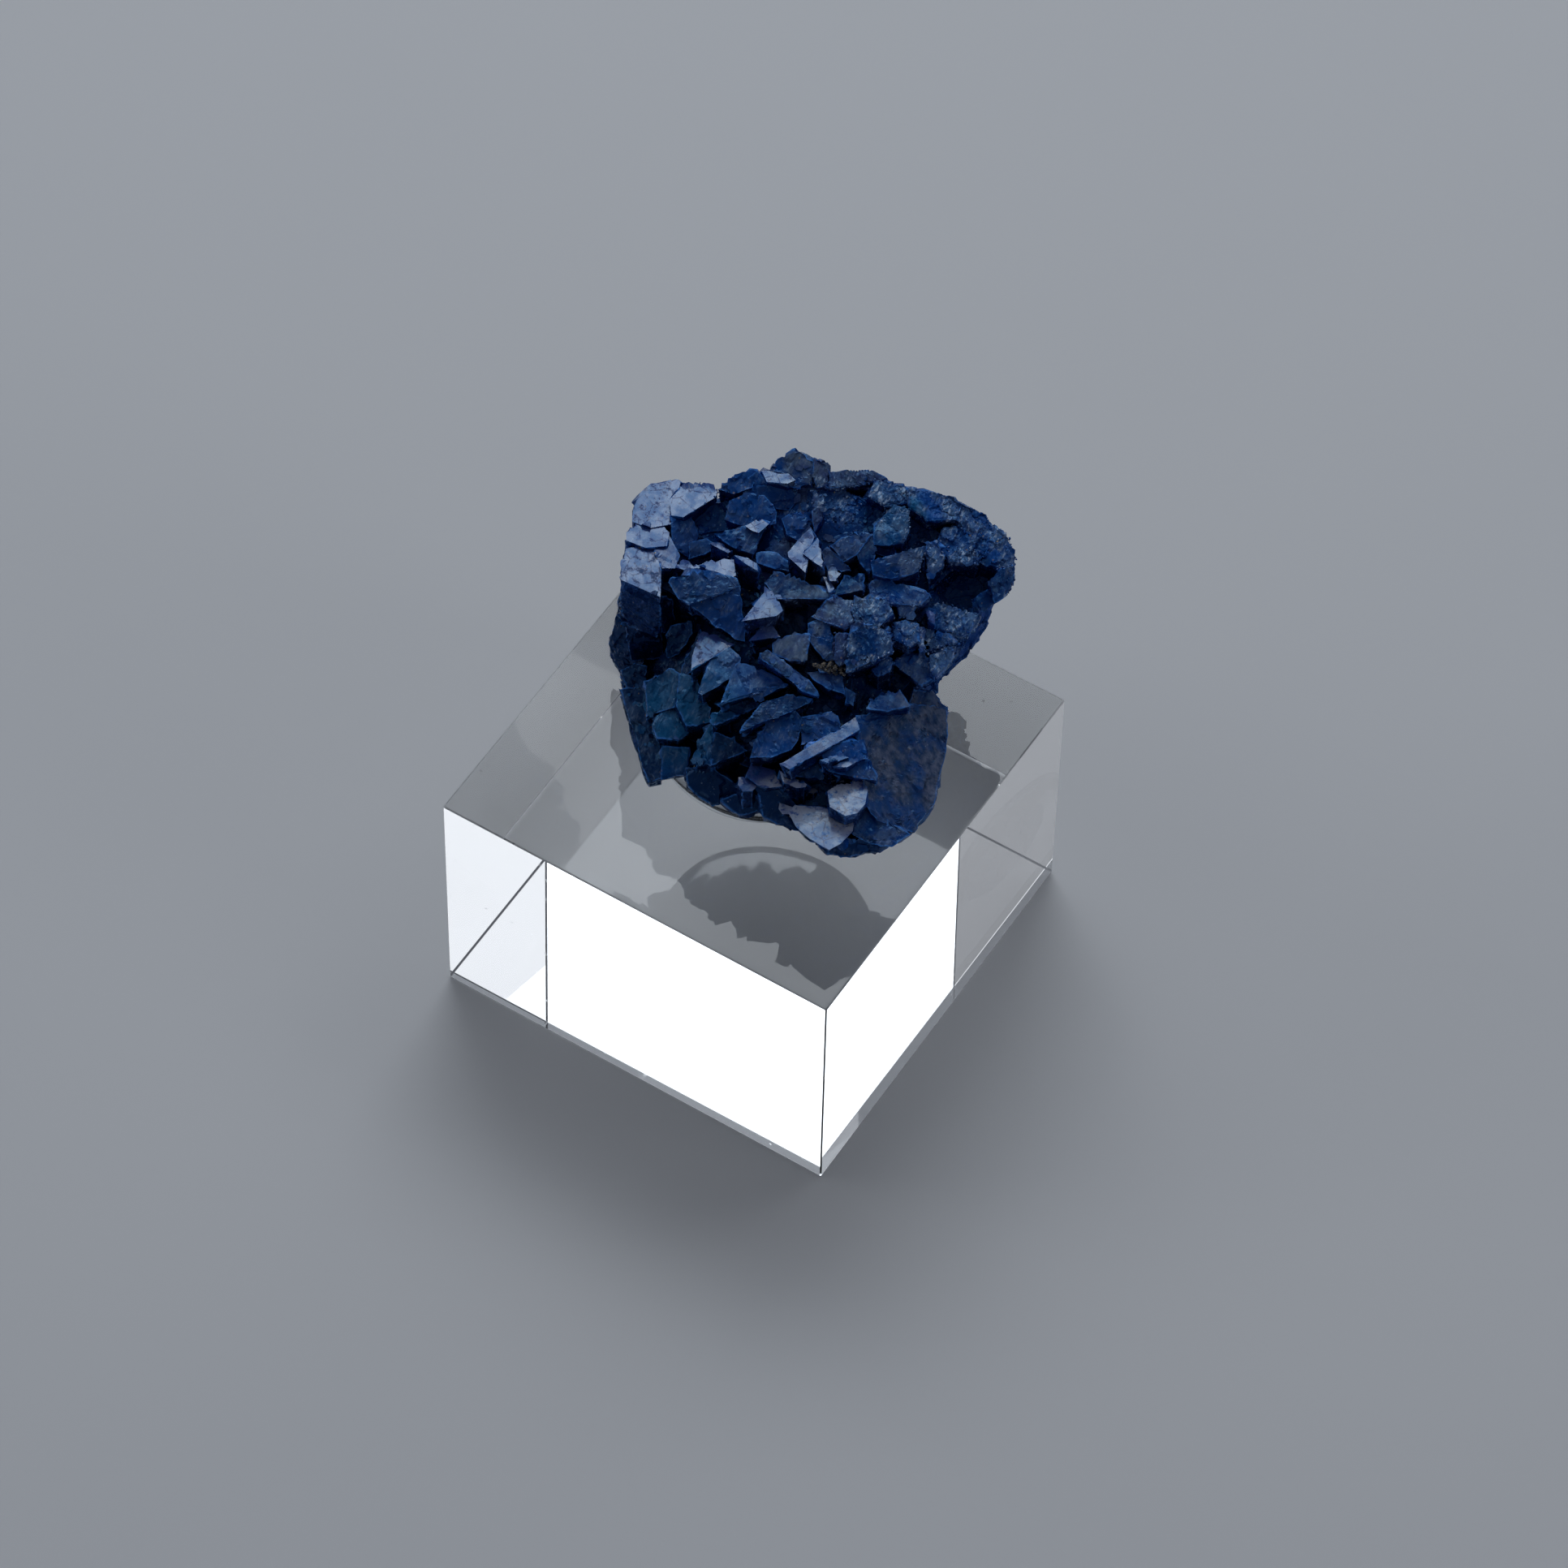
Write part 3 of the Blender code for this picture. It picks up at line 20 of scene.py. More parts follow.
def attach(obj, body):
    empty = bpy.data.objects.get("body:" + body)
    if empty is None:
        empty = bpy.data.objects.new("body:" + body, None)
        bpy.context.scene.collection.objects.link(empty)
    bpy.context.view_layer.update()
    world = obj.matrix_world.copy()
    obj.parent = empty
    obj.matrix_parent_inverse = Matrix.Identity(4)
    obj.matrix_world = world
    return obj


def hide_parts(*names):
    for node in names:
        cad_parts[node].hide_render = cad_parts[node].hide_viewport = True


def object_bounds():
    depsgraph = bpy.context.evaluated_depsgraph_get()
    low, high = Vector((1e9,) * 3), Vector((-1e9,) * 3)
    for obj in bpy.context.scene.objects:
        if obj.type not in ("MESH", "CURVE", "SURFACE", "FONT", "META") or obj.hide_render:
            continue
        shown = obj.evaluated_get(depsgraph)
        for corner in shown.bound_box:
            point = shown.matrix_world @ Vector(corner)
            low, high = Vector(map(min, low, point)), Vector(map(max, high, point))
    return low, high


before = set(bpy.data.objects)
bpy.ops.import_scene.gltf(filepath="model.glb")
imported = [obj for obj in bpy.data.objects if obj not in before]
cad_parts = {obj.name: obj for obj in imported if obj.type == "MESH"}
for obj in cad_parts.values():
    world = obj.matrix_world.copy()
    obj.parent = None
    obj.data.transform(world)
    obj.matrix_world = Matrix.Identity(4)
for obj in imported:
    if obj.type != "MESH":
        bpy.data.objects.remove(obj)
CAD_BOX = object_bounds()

MM = 0.001
MERGE_GAP = 2e-7
LOG = logging.getLogger("azurite_specimen")
Array = np.ndarray
Chance = np.random.Generator
Pair = tuple[float, float]
Triple = tuple[float, float, float]
Colour = tuple[float, float, float, float]


# ----------------------------------------------------------------------------- geometry


@dataclass(frozen=True)
class DisplayFrame:
    """Where somebody looks at the cluster's display side from: u right, v up, w out."""

    azimuth: float = 31.3
    elevation: float = 53.8
    roll: float = 1.4
    eye: float = 810.0
    top: float = 33.0

    def axes(self) -> Array:
        """The directions of u, v and w as the rows of a 3 by 3 array.

        Returns:
            Unit rows. w points out at the eye, u is level but for the roll, and v is w x u.
        """
        turn, lift = math.radians(self.azimuth), math.radians(self.elevation)
        out = np.array([
            math.sin(turn) * math.cos(lift), -math.cos(turn) * math.cos(lift), math.sin(lift)
        ])
        level = np.cross([0.0, 0.0, 1.0], out)
        level /= np.linalg.norm(level)
        rolled = math.radians(self.roll)
        right = level * math.cos(rolled) + np.cross(out, level) * math.sin(rolled)
        return np.array([right, np.cross(out, right), out])

    def seen(self, points: Array) -> Array:
        """Where points show: (u, v, w), with u and v over 1 - w / eye for perspective.

        Args:
            points: An (n, 3) array in millimetres in the row frame.

        Returns:
            An (n, 3) array of u, v and w in millimetres.
        """
        local = (points - [0.0, 0.0, self.top]) @ self.axes().T
        nearer = 1.0 - local[:, 2] / self.eye
        return np.column_stack([local[:, 0] / nearer, local[:, 1] / nearer, local[:, 2]])

    def place(self, u: float, v: float, w: float) -> Array:
        """The row-frame point in millimetres that shows at (u, v) and stands w out."""
        right, up, out = self.axes()
        return np.array([0.0, 0.0, self.top]) + (right * u + up * v) * (1.0 - w / self.eye) + out * w


DISPLAY = DisplayFrame()
RIGHT, UP, OUT = DISPLAY.axes()
OUTLINE = np.array([
    (4.8, 33.4), (8.9, 31.5), (14.3, 30.4), (20.0, 28.8), (25.5, 26.5), (28.6, 23.6),
    (29.1, 21.3), (28.2, 17.6), (25.4, 15.6), (24.6, 13.9), (22.2, 11.2), (20.0, 8.0),
    (21.3, 4.8), (21.2, 0.0), (19.8, -5.8), (17.0, -9.4), (14.0, -11.0), (10.4, -11.4),
    (7.0, -10.4), (4.4, -8.4), (1.2, -7.4), (-1.2, -6.8), (-5.0, -5.6), (-8.2, -2.6),
    (-12.1, -3.2), (-13.6, 2.4), (-14.8, 6.6), (-16.1, 11.6), (-15.0, 18.0), (-14.2, 24.4),
    (-12.4, 29.0), (-9.4, 30.4), (-5.0, 29.4), (-1.4, 31.4),
])
OUTLINE_MIDDLE = np.array([6.0, 11.0, 0.0])


def in_outline(seen: Array) -> Array:
    """Which points show inside the cluster's outline.

    A point is inside where a line from it along +u crosses the outline an odd number of times.

    Args:
        seen: An (n, 3) array of u, v and w.

    Returns:
        An (n,) array of True and False.
    """
    u, v = seen[:, 0:1], seen[:, 1:2]
    (u0, v0), (u1, v1) = OUTLINE.T, np.roll(OUTLINE, -1, axis=0).T
    across = (v0 > v) != (v1 > v)
    rise = np.where(v1 == v0, 1.0, v1 - v0)
    return (across & (u < u0 + (u1 - u0) * (v - v0) / rise)).sum(axis=1) % 2 == 1


@dataclass(frozen=True)
class Lattice:
    """Seeded chance on a grid of whole numbers, worked out for whole arrays of points."""

    seed: int
    factors: tuple[int, int, int] = (73856093, 19349663, 83492791)
    seed_factor: int = 961748941
    turn_factor: int = 15485863

    def chance(self, cells: Array, turn: int = 0) -> Array:
        """A number from 0 to 1 for each cell, by mixing the bits of its three numbers.

        Args:
            cells: An (n, 3) array of whole numbers.
            turn: Which of a cell's numbers is wanted.

        Returns:
            An (n,) array.
        """
        mixed = cells.astype(np.int64) @ np.array(self.factors)
        mixed = (mixed + self.seed * self.seed_factor + turn * self.turn_factor) & 0xFFFFFFFF
        for shift, factor in ((15, 2246822519), (13, 1274126177)):
            mixed = ((mixed ^ (mixed >> shift)) * factor) & 0xFFFFFFFF
        return (mixed ^ (mixed >> 16)) / 4294967296.0

    def cloud(self, points: Array, size: float) -> Array:
        """Smooth noise from -1 to 1: the chances at a cell's eight corners, eased together.

        Args:
            points: An (n, 3) array.
            size: The width of a cell.

        Returns:
            An (n,) array.
        """
        spot = points / size
        base = np.floor(spot)
        part = spot - base
        ease = part * part * (3.0 - 2.0 * part)
        total = np.zeros(len(points))
        for corner in np.ndindex(2, 2, 2):
            weight = np.where(corner, ease, 1.0 - ease).prod(axis=1)
            total += weight * self.chance(base + corner)
        return total * 2.0 - 1.0

    def tilted(self, points: Array, size: float, step: float) -> Array:
        """Small crystal faces: every cell is a plane with its own tilt and its own height.

        The height is step (chance - 1/2) + tilt . (point - the cell's own point), for the
        cell whose own point is the nearest; tilt is a random vector of up to 1/2 each way.

        Args:
            points: An (n, 3) array.
            size: The mean width of a face.
            step: The largest difference in height between cells, over size.

        Returns:
            An (n,) array of heights in the points' unit.
        """
        spot = points / size
        base = np.floor(spot)
        least = np.full(len(points), np.inf)
        nearest = base.copy()
        for shift in np.ndindex(3, 3, 3):
            cell = base + shift - 1.0
            gap = sum((spot[:, turn] - cell[:, turn] - self.chance(cell, turn)) ** 2 for turn in range(3))
            closer = gap < least
            nearest[closer] = cell[closer]
            least[closer] = gap[closer]
        own = np.column_stack([self.chance(nearest, turn) for turn in range(7)])
        tilt = ((own[:, 3:6] - 0.5) * (spot - nearest - own[:, :3])).sum(axis=1)
        return (step * (own[:, 6] - 0.5) + tilt) * size


@dataclass
class Surface:
    """A closed surface of triangles: points in millimetres, and corner numbers of each face."""

    points: Array
    faces: Array

    @classmethod
    def of_node(cls, node: bpy.types.Object) -> "Surface":
        """A merged copy of a CAD node's mesh.

        Args:
            node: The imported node, whose own mesh is left alone.

        Returns:
            The same surface with the vertices that coincide made one.
        """
        mesh = bmesh.new()
        mesh.from_mesh(node.data)
        bmesh.ops.remove_doubles(mesh, verts=mesh.verts, dist=MERGE_GAP)
        bmesh.ops.triangulate(mesh, faces=mesh.faces)
        merged = cls.read(mesh)
        return cls(merged.points / MM, merged.faces)

    @classmethod
    def read(cls, mesh: bmesh.types.BMesh) -> "Surface":
        """Reads a working mesh of triangles in its own unit, and frees it.

        Args:
            mesh: The working mesh.

        Returns:
            Its points and faces.
        """
        mesh.verts.index_update()
        points = np.array([vert.co[:] for vert in mesh.verts])
        faces = np.array([[vert.index for vert in face.verts] for face in mesh.faces])
        mesh.free()
        return cls(points, faces)

    @classmethod
    def joined(cls, surfaces: Sequence["Surface"]) -> "Surface":
        """The surfaces laid one after another in one pair of arrays.

        Args:
            surfaces: The surfaces to join.

        Returns:
            One surface, its face numbers raised by the points that come before them.
        """
        starts = np.cumsum([0] + [len(each.points) for each in surfaces[:-1]])
        return cls(
            np.concatenate([each.points for each in surfaces]),
            np.concatenate([each.faces + start for each, start in zip(surfaces, starts)]),
        )

    def crosses(self) -> Array:
        """Each face's normal times twice its area: the cross product of two of its sides."""
        a, b, c = (self.points[self.faces[:, corner]] for corner in range(3))
        return np.cross(b - a, c - a)

    def normals(self) -> Array:
        """Each face's unit normal."""
        cross = self.crosses()
        return cross / np.maximum(np.linalg.norm(cross, axis=1, keepdims=True), 1e-12)

    def centres(self) -> Array:
        """The mean of each face's corners."""
        return self.points[self.faces].mean(axis=1)

    def seams(self) -> "Seams":
        """Its edges, as places where crystals can stand.

        Returns:
            Each edge with its two ends, the mean of its two normals, and how far it turns:
            one less the dot product of its normals, below zero where it turns inwards.
        """
        normals = self.normals()
        pairs, one, two = self.meetings()
        turn, inward = folds(normals, self.centres(), one, two)
        start, end = self.points[pairs.T]
        return Seams(start, end, unit(normals[one] + normals[two]), np.where(inward, -turn, turn))

    def meetings(self) -> tuple[Array, Array, Array]:
        """A closed surface's edges, as corner numbers, and the two faces that meet at each."""
        pairs, which = self.edges()
        return pairs, *(np.argsort(which.ravel(), kind="stable").reshape(-1, 2) // 3).T

    def edges(self) -> tuple[Array, Array]:
        """Its edges, and the numbers of each face's three.

        Returns:
            An (m, 2) array of corner numbers, and an (n, 3) array of edge numbers in the
            order ab, bc, ca.
        """
        sides = np.concatenate([self.faces[:, ends] for ends in ([0, 1], [1, 2], [2, 0])])
        keys = sides.min(axis=1).astype(np.int64) * len(self.points) + sides.max(axis=1)
        found, which = np.unique(keys, return_inverse=True)
        return np.column_stack(np.divmod(found, len(self.points))), which.reshape(3, -1).T

    def split(self, limit: Callable[[Array], Array]) -> tuple["Surface", Array]:
        """Halves the edges that are longer than the limit, and cuts their faces to match.

        Args:
            limit: Gives the longest edge wanted at each of an (n, 3) array of points.

        Returns:
            The new surface, and the number of the face that each of its faces came from.
        """
        pairs, which = self.edges()
        ends = self.points[pairs]
        middle = ends.mean(axis=1)
        long = np.linalg.norm(ends[:, 0] - ends[:, 1], axis=1) > limit(middle)
        number = np.where(long, len(self.points) + np.cumsum(long) - 1, -1)
        code = (number[which] >= 0) @ [1, 2, 4]
        start = np.array([0, 0, 1, 0, 2, 2, 1, 0])[code]
        order = (start[:, None] + np.arange(3)) % 3
        corners = np.hstack([
            np.take_along_axis(self.faces, order, 1), np.take_along_axis(number[which], order, 1)
        ])
        halves = np.array([0, 1, 1, 2, 1, 2, 2, 3])[code]
        cuts = {0: "012", 1: "032 312", 2: "032 314 342", 3: "035 314 425 345"}
        faces, parents = [], []
        for count, cut in cuts.items():
            chosen = np.nonzero(halves == count)[0]
            for face in cut.split():
                faces.append(corners[chosen][:, [int(corner) for corner in face]])
                parents.append(chosen)
        points = np.concatenate([self.points, middle[long]])
        return Surface(points, np.concatenate(faces)), np.concatenate(parents)

    def spread(self, values: Array, keep: Array, times: int) -> Array:
        """Evens out values at the points: each moves towards the mean of its neighbours.

        Args:
            values: An (n, k) array.
            keep: How far each point holds its own value, from 0 to 1.
            times: How many rounds.

        Returns:
            The values after the rounds, each of which is keep old + (1 - keep) mean.
        """
        pairs, _ = self.edges()
        one, two = np.concatenate([pairs, pairs[:, ::-1]]).T
        count = np.bincount(one, minlength=len(values))[:, None]
        for _ in range(times):
            total = np.column_stack([
                np.bincount(one, column[two], minlength=len(values)) for column in values.T
            ])
            values = keep[:, None] * values + (1.0 - keep[:, None]) * total / count
        return values

    def at_points(self, values: Array) -> Array:
        """The largest at each point of the numbers of the faces round it.

        Args:
            values: A number for each face.

        Returns:
            A number for each point.
        """
        found = np.zeros(len(self.points))
        for corner in range(3):
            np.maximum.at(found, self.faces[:, corner], values)
        return found

    def point_normals(self) -> Array:
        """Unit normals at the points.

        Returns:
            An (n, 3) array: at each point the sum of its faces' crosses, made one long.
        """
        cross = self.crosses()
        total = np.zeros_like(self.points)
        for corner in range(3):
            for axis in range(3):
                total[:, axis] += np.bincount(self.faces[:, corner], cross[:, axis], minlength=len(total))
        return unit(total)

    def to_object(self, name: str, attributes: dict[str, Array] | None = None,
                  crease: float = 0.0) -> bpy.types.Object:
        """A linked mesh object that holds the surface in metres.

        Args:
            name: The object's name.
            attributes: Numbers to keep on its faces or on its points, by name.
            crease: The angle in radians past which an edge shades sharp. At 0 all do.

        Returns:
            The object, at the origin.
        """
        mesh = bpy.data.meshes.new(name)
        mesh.vertices.add(len(self.points))
        mesh.vertices.foreach_set("co", (self.points * MM).astype(np.float32).ravel())
        mesh.loops.add(self.faces.size)
        mesh.loops.foreach_set("vertex_index", self.faces.astype(np.int32).ravel())
        mesh.polygons.add(len(self.faces))
        mesh.polygons.foreach_set("loop_start", np.arange(0, self.faces.size, 3, dtype=np.int32))
        mesh.update(calc_edges=True)
        mesh.validate()
        if crease:
            mesh.set_sharp_from_angle(angle=crease)
        else:
            mesh.shade_flat()
        for key, values in (attributes or {}).items():
            domain = "FACE" if len(values) == len(self.faces) else "POINT"
            store = mesh.attributes.new(key, "FLOAT", domain)
            store.data.foreach_set("value", values.astype(np.float32))
        thing = bpy.data.objects.new(name, mesh)
        bpy.context.scene.collection.objects.link(thing)
        return thing


@dataclass
class Seams:
    """Edges between faces: two ends, a mean normal and how far each turns."""

    start: Array
    end: Array
    normal: Array
    turn: Array

    def picked(self, chosen: Array) -> "Seams":
        """The edges that are chosen."""
        return Seams(self.start[chosen], self.end[chosen], self.normal[chosen], self.turn[chosen])


def folds(normals: Array, centres: Array, one: Array,
          two: Array) -> tuple[Array, Array]:
    """One less the dot product of the normals of faces one and two, and if they fold inwards."""
    inward = (normals[one] * (centres[two] - centres[one])).sum(axis=1) > 0.0
    return 1.0 - (normals[one] * normals[two]).sum(axis=1), inward


def convex(corners: Array) -> Surface:
    """The convex hull of a few corners, as an outward-facing surface.

    Args:
        corners: An (n, 3) array.

    Returns:
        The hull, with only the corners that lie on it.
    """
    mesh = bmesh.new()
    for corner in corners:
        mesh.verts.new(corner)
    found = bmesh.ops.convex_hull(mesh, input=mesh.verts)
    inside = [item for item in found["geom_interior"] if isinstance(item, bmesh.types.BMVert)]
    bmesh.ops.delete(mesh, geom=inside, context="VERTS")
    bmesh.ops.recalc_face_normals(mesh, faces=mesh.faces)
    bmesh.ops.triangulate(mesh, faces=mesh.faces)
    return Surface.read(mesh)


def unit(rows: Array) -> Array:
    """Each row over its own length."""
    return rows / np.maximum(np.linalg.norm(rows, axis=-1, keepdims=True), 1e-9)


def rising(values: Array, start: float, width: float) -> Array:
    """A ramp: 0 up to the start, and 1 from a width beyond it on."""
    return np.clip((values - start) / width, 0.0, 1.0)


def pick(weight: Array, count: int, draw: Chance) -> Array:
    """The numbers of this many rows, picked by chance in proportion to their weights."""
    return draw.choice(len(weight), count, p=weight / weight.sum())


def hollows(seen: Array, cell: float = 0.3, reach: int = 4,
            depth: float = 1.1) -> Array:
    """How deep points lie among what is round them, seen from the display side.

    The greatest w in each square of the (u, v) plane makes a map of heights, which is
    evened out twice over a box of squares; empty squares don't count. A point's depth is
    the evened height there less its own w.

    Args:
        seen: An (n, 3) array of u, v and w.
        cell: The width of a square.
        reach: How many squares the box reaches out each way.
        depth: How far below its surroundings a point counts as fully sunk.

    Returns:
        An (n,) array: 0 for points that stand clear, 1 for the deepest.
    """
    spot = np.floor((seen[:, :2] - seen[:, :2].min(axis=0)) / cell).astype(int) + 2 * reach
    height = np.full(spot.max(axis=0) + 2 * reach + 1, -np.inf)
    np.maximum.at(height, tuple(spot.T), seen[:, 2])
    filled = np.isfinite(height).astype(float)
    height = np.where(filled > 0.0, height, 0.0)
    for _ in range(2):
        height, filled = box_mean(height, reach), box_mean(filled, reach)
    mean = height / np.maximum(filled, 1e-9)
    return rising(mean[tuple(spot.T)] - seen[:, 2], 0.0, depth)


def box_mean(grid: Array, reach: int) -> Array:
    """Evens out a grid.

    Args:
        grid: A number for each square.
        reach: How many squares count each way.

    Returns:
        The mean of each square and its neighbours, worked out from shifted copies.
    """
    for axis in range(2):
        grid = np.mean([np.roll(grid, shift, axis) for shift in range(-reach, reach + 1)], axis=0)
    return grid


HABIT_DEPTH = 0.6


class Habit(Enum):
    """The forms in which azurite grows here, of unit width, standing along +Z.

    Each is about HABIT_DEPTH from front to back.
    """

    WEDGE = "hexagonal tablet that ends in a slanting roof edge"
    RHOMB = "leaning rhombic prism with one corner cut off"
    GRAIN = "stubby grain with a sloping top"
    STEP = "five-sided tablet, tapering downwards, whose flat top is a step on a facet"

    def corners(self) -> Array:
        """The corners whose convex hull is the form.

        Returns:
            An (n, 3) array: a low ring, a high ring on a slope, and what stands over it.
        """
        if self is Habit.WEDGE:
            ring = [(-0.5, 0.0), (-0.3, -0.24), (0.3, -0.24), (0.5, 0.0), (0.3, 0.24), (-0.3, 0.24)]
            low = [(0.8 * x, 0.8 * y, -1.1) for x, y in ring]
            high = [(x, y, -0.25 + 0.2 * x) for x, y in ring]
            return np.array(low + high + [(-0.28, 0.0, 0.0), (0.28, 0.0, 0.12)])
        if self is Habit.RHOMB:
            ring = [(-0.55, 0.0), (0.0, -0.36), (0.55, 0.0), (0.0, 0.36)]
            low = [(0.75 * x, 0.75 * y, -1.0) for x, y in ring]
            high = [(x + 0.1, y, 0.34 * x - 0.1 * y) for x, y in ring[:2] + ring[3:]]
            return np.array(low + high + [(0.52, -0.1, 0.02), (0.52, 0.12, -0.02), (0.58, 0.0, -0.25)])
        if self is Habit.STEP:
            ring = [(-0.5, -0.12), (-0.1, -0.4), (0.5, -0.05), (0.36, 0.3), (-0.3, 0.24)]
            low = [(0.6 * x, 0.6 * y, -1.0) for x, y in ring]
            return np.array(low + [(x, y, 0.0) for x, y in ring])
        ring = [(0.5, 0.0), (0.16, 0.42), (-0.38, 0.3), (-0.42, -0.26), (0.12, -0.44)]
        low = [(0.8 * x, 0.8 * y, -0.7) for x, y in ring]
        high = [(x, y, 0.5 * x - 0.3 * y - 0.1) for x, y in ring]
        return np.array(low + high + [(-0.05, 0.05, 0.2)])


@dataclass(frozen=True)
class Growth:
    """A crop of small crystals of one habit.

    thin is the range of each one's thickness over its width, tall of its length over its
    width, proud of how far its tip stands out over its length, splay how far, as a tangent,
    its axis leans off the surface's normal, and parallel how strictly they line up square to
    the lie. The larger skew is, the more of them are small.
    """

    habit: Habit
    count: int
    width: Pair
    thin: Pair = (0.7, 1.1)
    tall: Pair = (0.8, 1.4)
    proud: Pair = (0.2, 0.5)
    splay: float = 0.5
    parallel: float = 0.0
    skew: float = 1.7
    lie: Triple = (0.45, 0.35, 0.82)

    def grow(self, places: Array, normals: Array, draw: Chance,
             screen: BVHTree | None = None) -> Surface:
        """Stands the crystals at the places given.

        Each corner c of the habit's hull goes to place + frame (c * size), where the frame's
        third axis is the normal leant by splay and the other two are turned about it at
        random or, the larger parallel is, square to one direction for all. It is worked out
        for all crystals at once.

        Args:
            places: An (n, 3) array of feet in millimetres.
            normals: An (n, 3) array of unit normals there.
            draw: The source of chance.
            screen: What the crystals have to stay behind on the display side, if anything.

        Returns:
            All crystals that stay inside the CAD model's box, as one surface.
        """
        form = convex(self.habit.corners())
        count = len(places)
        sway = unit(draw.normal(size=(count, 3))) * draw.uniform(0.1, 1.0, (count, 1))
        axis = unit(normals + sway * self.splay)
        lay = draw.normal(size=(count, 3)) + self.parallel * np.array(self.lie)
        side = unit(np.cross(axis, unit(lay)))
        other = np.cross(axis, side)
        width = self.width[0] + (self.width[1] - self.width[0]) * draw.random(count) ** self.skew
        sizes = np.column_stack([
            width,
            width * draw.uniform(*self.thin, count) / HABIT_DEPTH,
            width * draw.uniform(*self.tall, count),
        ])
        local = form.points[None] * sizes[:, None]
        turned = (
            local[..., 0:1] * side[:, None] + local[..., 1:2] * other[:, None]
            + local[..., 2:3] * axis[:, None]
        )
        feet = places + axis * (sizes[:, 2] * draw.uniform(*self.proud, count))[:, None]
        points = feet[:, None] + turned
        points = points[within_cad(points)]
        if screen:
            points = points[behind(points, screen)]
        starts = np.arange(len(points))[:, None, None] * len(form.points)
        return Surface(points.reshape(-1, 3), (form.faces[None] + starts).reshape(-1, 3))


def within_cad(crystals: Array, low_gap: float = 0.05, high_gap: float = 0.02,
               clear: float = 0.5) -> Array:
    """Which crystals lie in the CAD model's box, clear of the block and inside the outline.

    Args:
        crystals: An (n, corners, 3) array.
        low_gap: How far they stay inside the box's lower sides.
        high_gap: How far they stay inside its upper sides.
        clear: How far above the block they stay.

    Returns:
        An (n,) array of True and False.
    """
    low = np.array(CAD_BOX[0]) / MM + low_gap
    high = np.array(CAD_BOX[1]) / MM - high_gap
    low[2] = DISPLAY.top + clear
    held = ((crystals > low) & (crystals < high)).all(axis=(1, 2))
    shown = in_outline(DISPLAY.seen(crystals.reshape(-1, 3))).reshape(len(crystals), -1)
    return held & shown.all(axis=1)


def in_sight(points: Array, screen: BVHTree, lift: float = 0.02) -> Array:
    """Whether a line towards the eye, from lift out of each point, misses the screen."""
    out = Vector(OUT)
    return np.array([screen.ray_cast(Vector(point) + out * lift, out)[0] is None for point in points])


def behind(crystals: Array, screen: BVHTree) -> Array:
    """Which crystals stay out of sight on the display side, but for a band along the outline.

    Args:
        crystals: An (n, corners, 3) array.
        screen: The solid that hides them.

    Returns:
        An (n,) array: False where a line from a corner towards the eye misses the solid and
        the corner shows inside the outline drawn in by a twelfth towards its middle.
    """
    points = crystals.reshape(-1, 3)
    spread = (DISPLAY.seen(points) - OUTLINE_MIDDLE) * 12.0 / 11.0
    inner = np.nonzero(in_outline(OUTLINE_MIDDLE + spread))[0]
    shows = np.zeros(len(points), dtype=bool)
    shows[inner] = in_sight(points[inner], screen, 0.01)
    return ~shows.reshape(len(crystals), -1).any(axis=1)


class Patch(Enum):
    """Ellipses (u, v, half-width, half-height) of the display side with a character of
    their own."""

    EAST_DRUSE = (23.6, 24.6, 7.6, 5.6)
    SOUTH_EAST_DRUSE = (20.4, 12.6, 4.8, 4.6)
    MIDDLE_DRUSE = (12.2, 12.6, 4.6, 4.8)
    NORTH_DRUSE = (12.6, 28.0, 8.0, 3.4)
    # The next three patches carry painted shade.
    CLIFF = (-12.4, 12.6, 4.4, 5.6)
    CAVE = (23.4, 18.0, 4.6, 2.6)
    UNDERSIDE = (-3.6, -4.9, 9.0, 3.1)
    FLAT_SIDE = (17.2, -1.2, 5.6, 7.6)
    TEAL_CORNER = (-8.0, 4.6, 6.6, 6.6)
    TEAL_FACE = (15.2, 25.2, 3.4, 3.6)
    # Level facets in the lips patch get a painted pale highlight.
    LIPS = (6.2, -6.8, 8.4, 4.8)
    # The next two patches carry painted sheen, grey and mauve.
    SHEEN_ZONE = (7.5, 14.0, 6.5, 6.0)
    MAUVE_SHEEN = (6.6, 24.6, 5.0, 4.2)
    GREY_BLADES = (-2.0, 13.8, 5.2, 5.2)
    LEDGE = (7.4, 1.0, 4.6, 2.6)
    # Painted grey sheen also lies on the back ridge.
    BACK_RIDGE = (8.0, 30.8, 7.6, 2.8)

    def share(self, seen: Array, soft: float = 0.35) -> Array:
        """How far points lie in the patch: 1 at its middle, 0 outside, by a smooth ramp.

        Args:
            seen: An (n, 3) array of u, v and w.
            soft: The width of the ramp over the ellipse's radius.

        Returns:
            An (n,) array from 0 to 1.
        """
        u, v, wide, high = self.value
        radius = np.hypot((seen[:, 0] - u) / wide, (seen[:, 1] - v) / high)
        ramp = np.clip((1.0 + soft / 2.0 - radius) / soft, 0.0, 1.0)
        return ramp * ramp * (3.0 - 2.0 * ramp)


DRUSES = (Patch.EAST_DRUSE, Patch.SOUTH_EAST_DRUSE, Patch.MIDDLE_DRUSE, Patch.NORTH_DRUSE)


def druse_share(seen: Array, soft: float = 0.35, others: float = 1.0) -> Array:
    """How far points (u, v, w) lie in a druse, where those after the first count others times."""
    first, *rest = (patch.share(seen, soft) for patch in DRUSES)
    return np.max([first, *(share * others for share in rest)], axis=0)


# ------------------------------------------------------------------------------ shaders


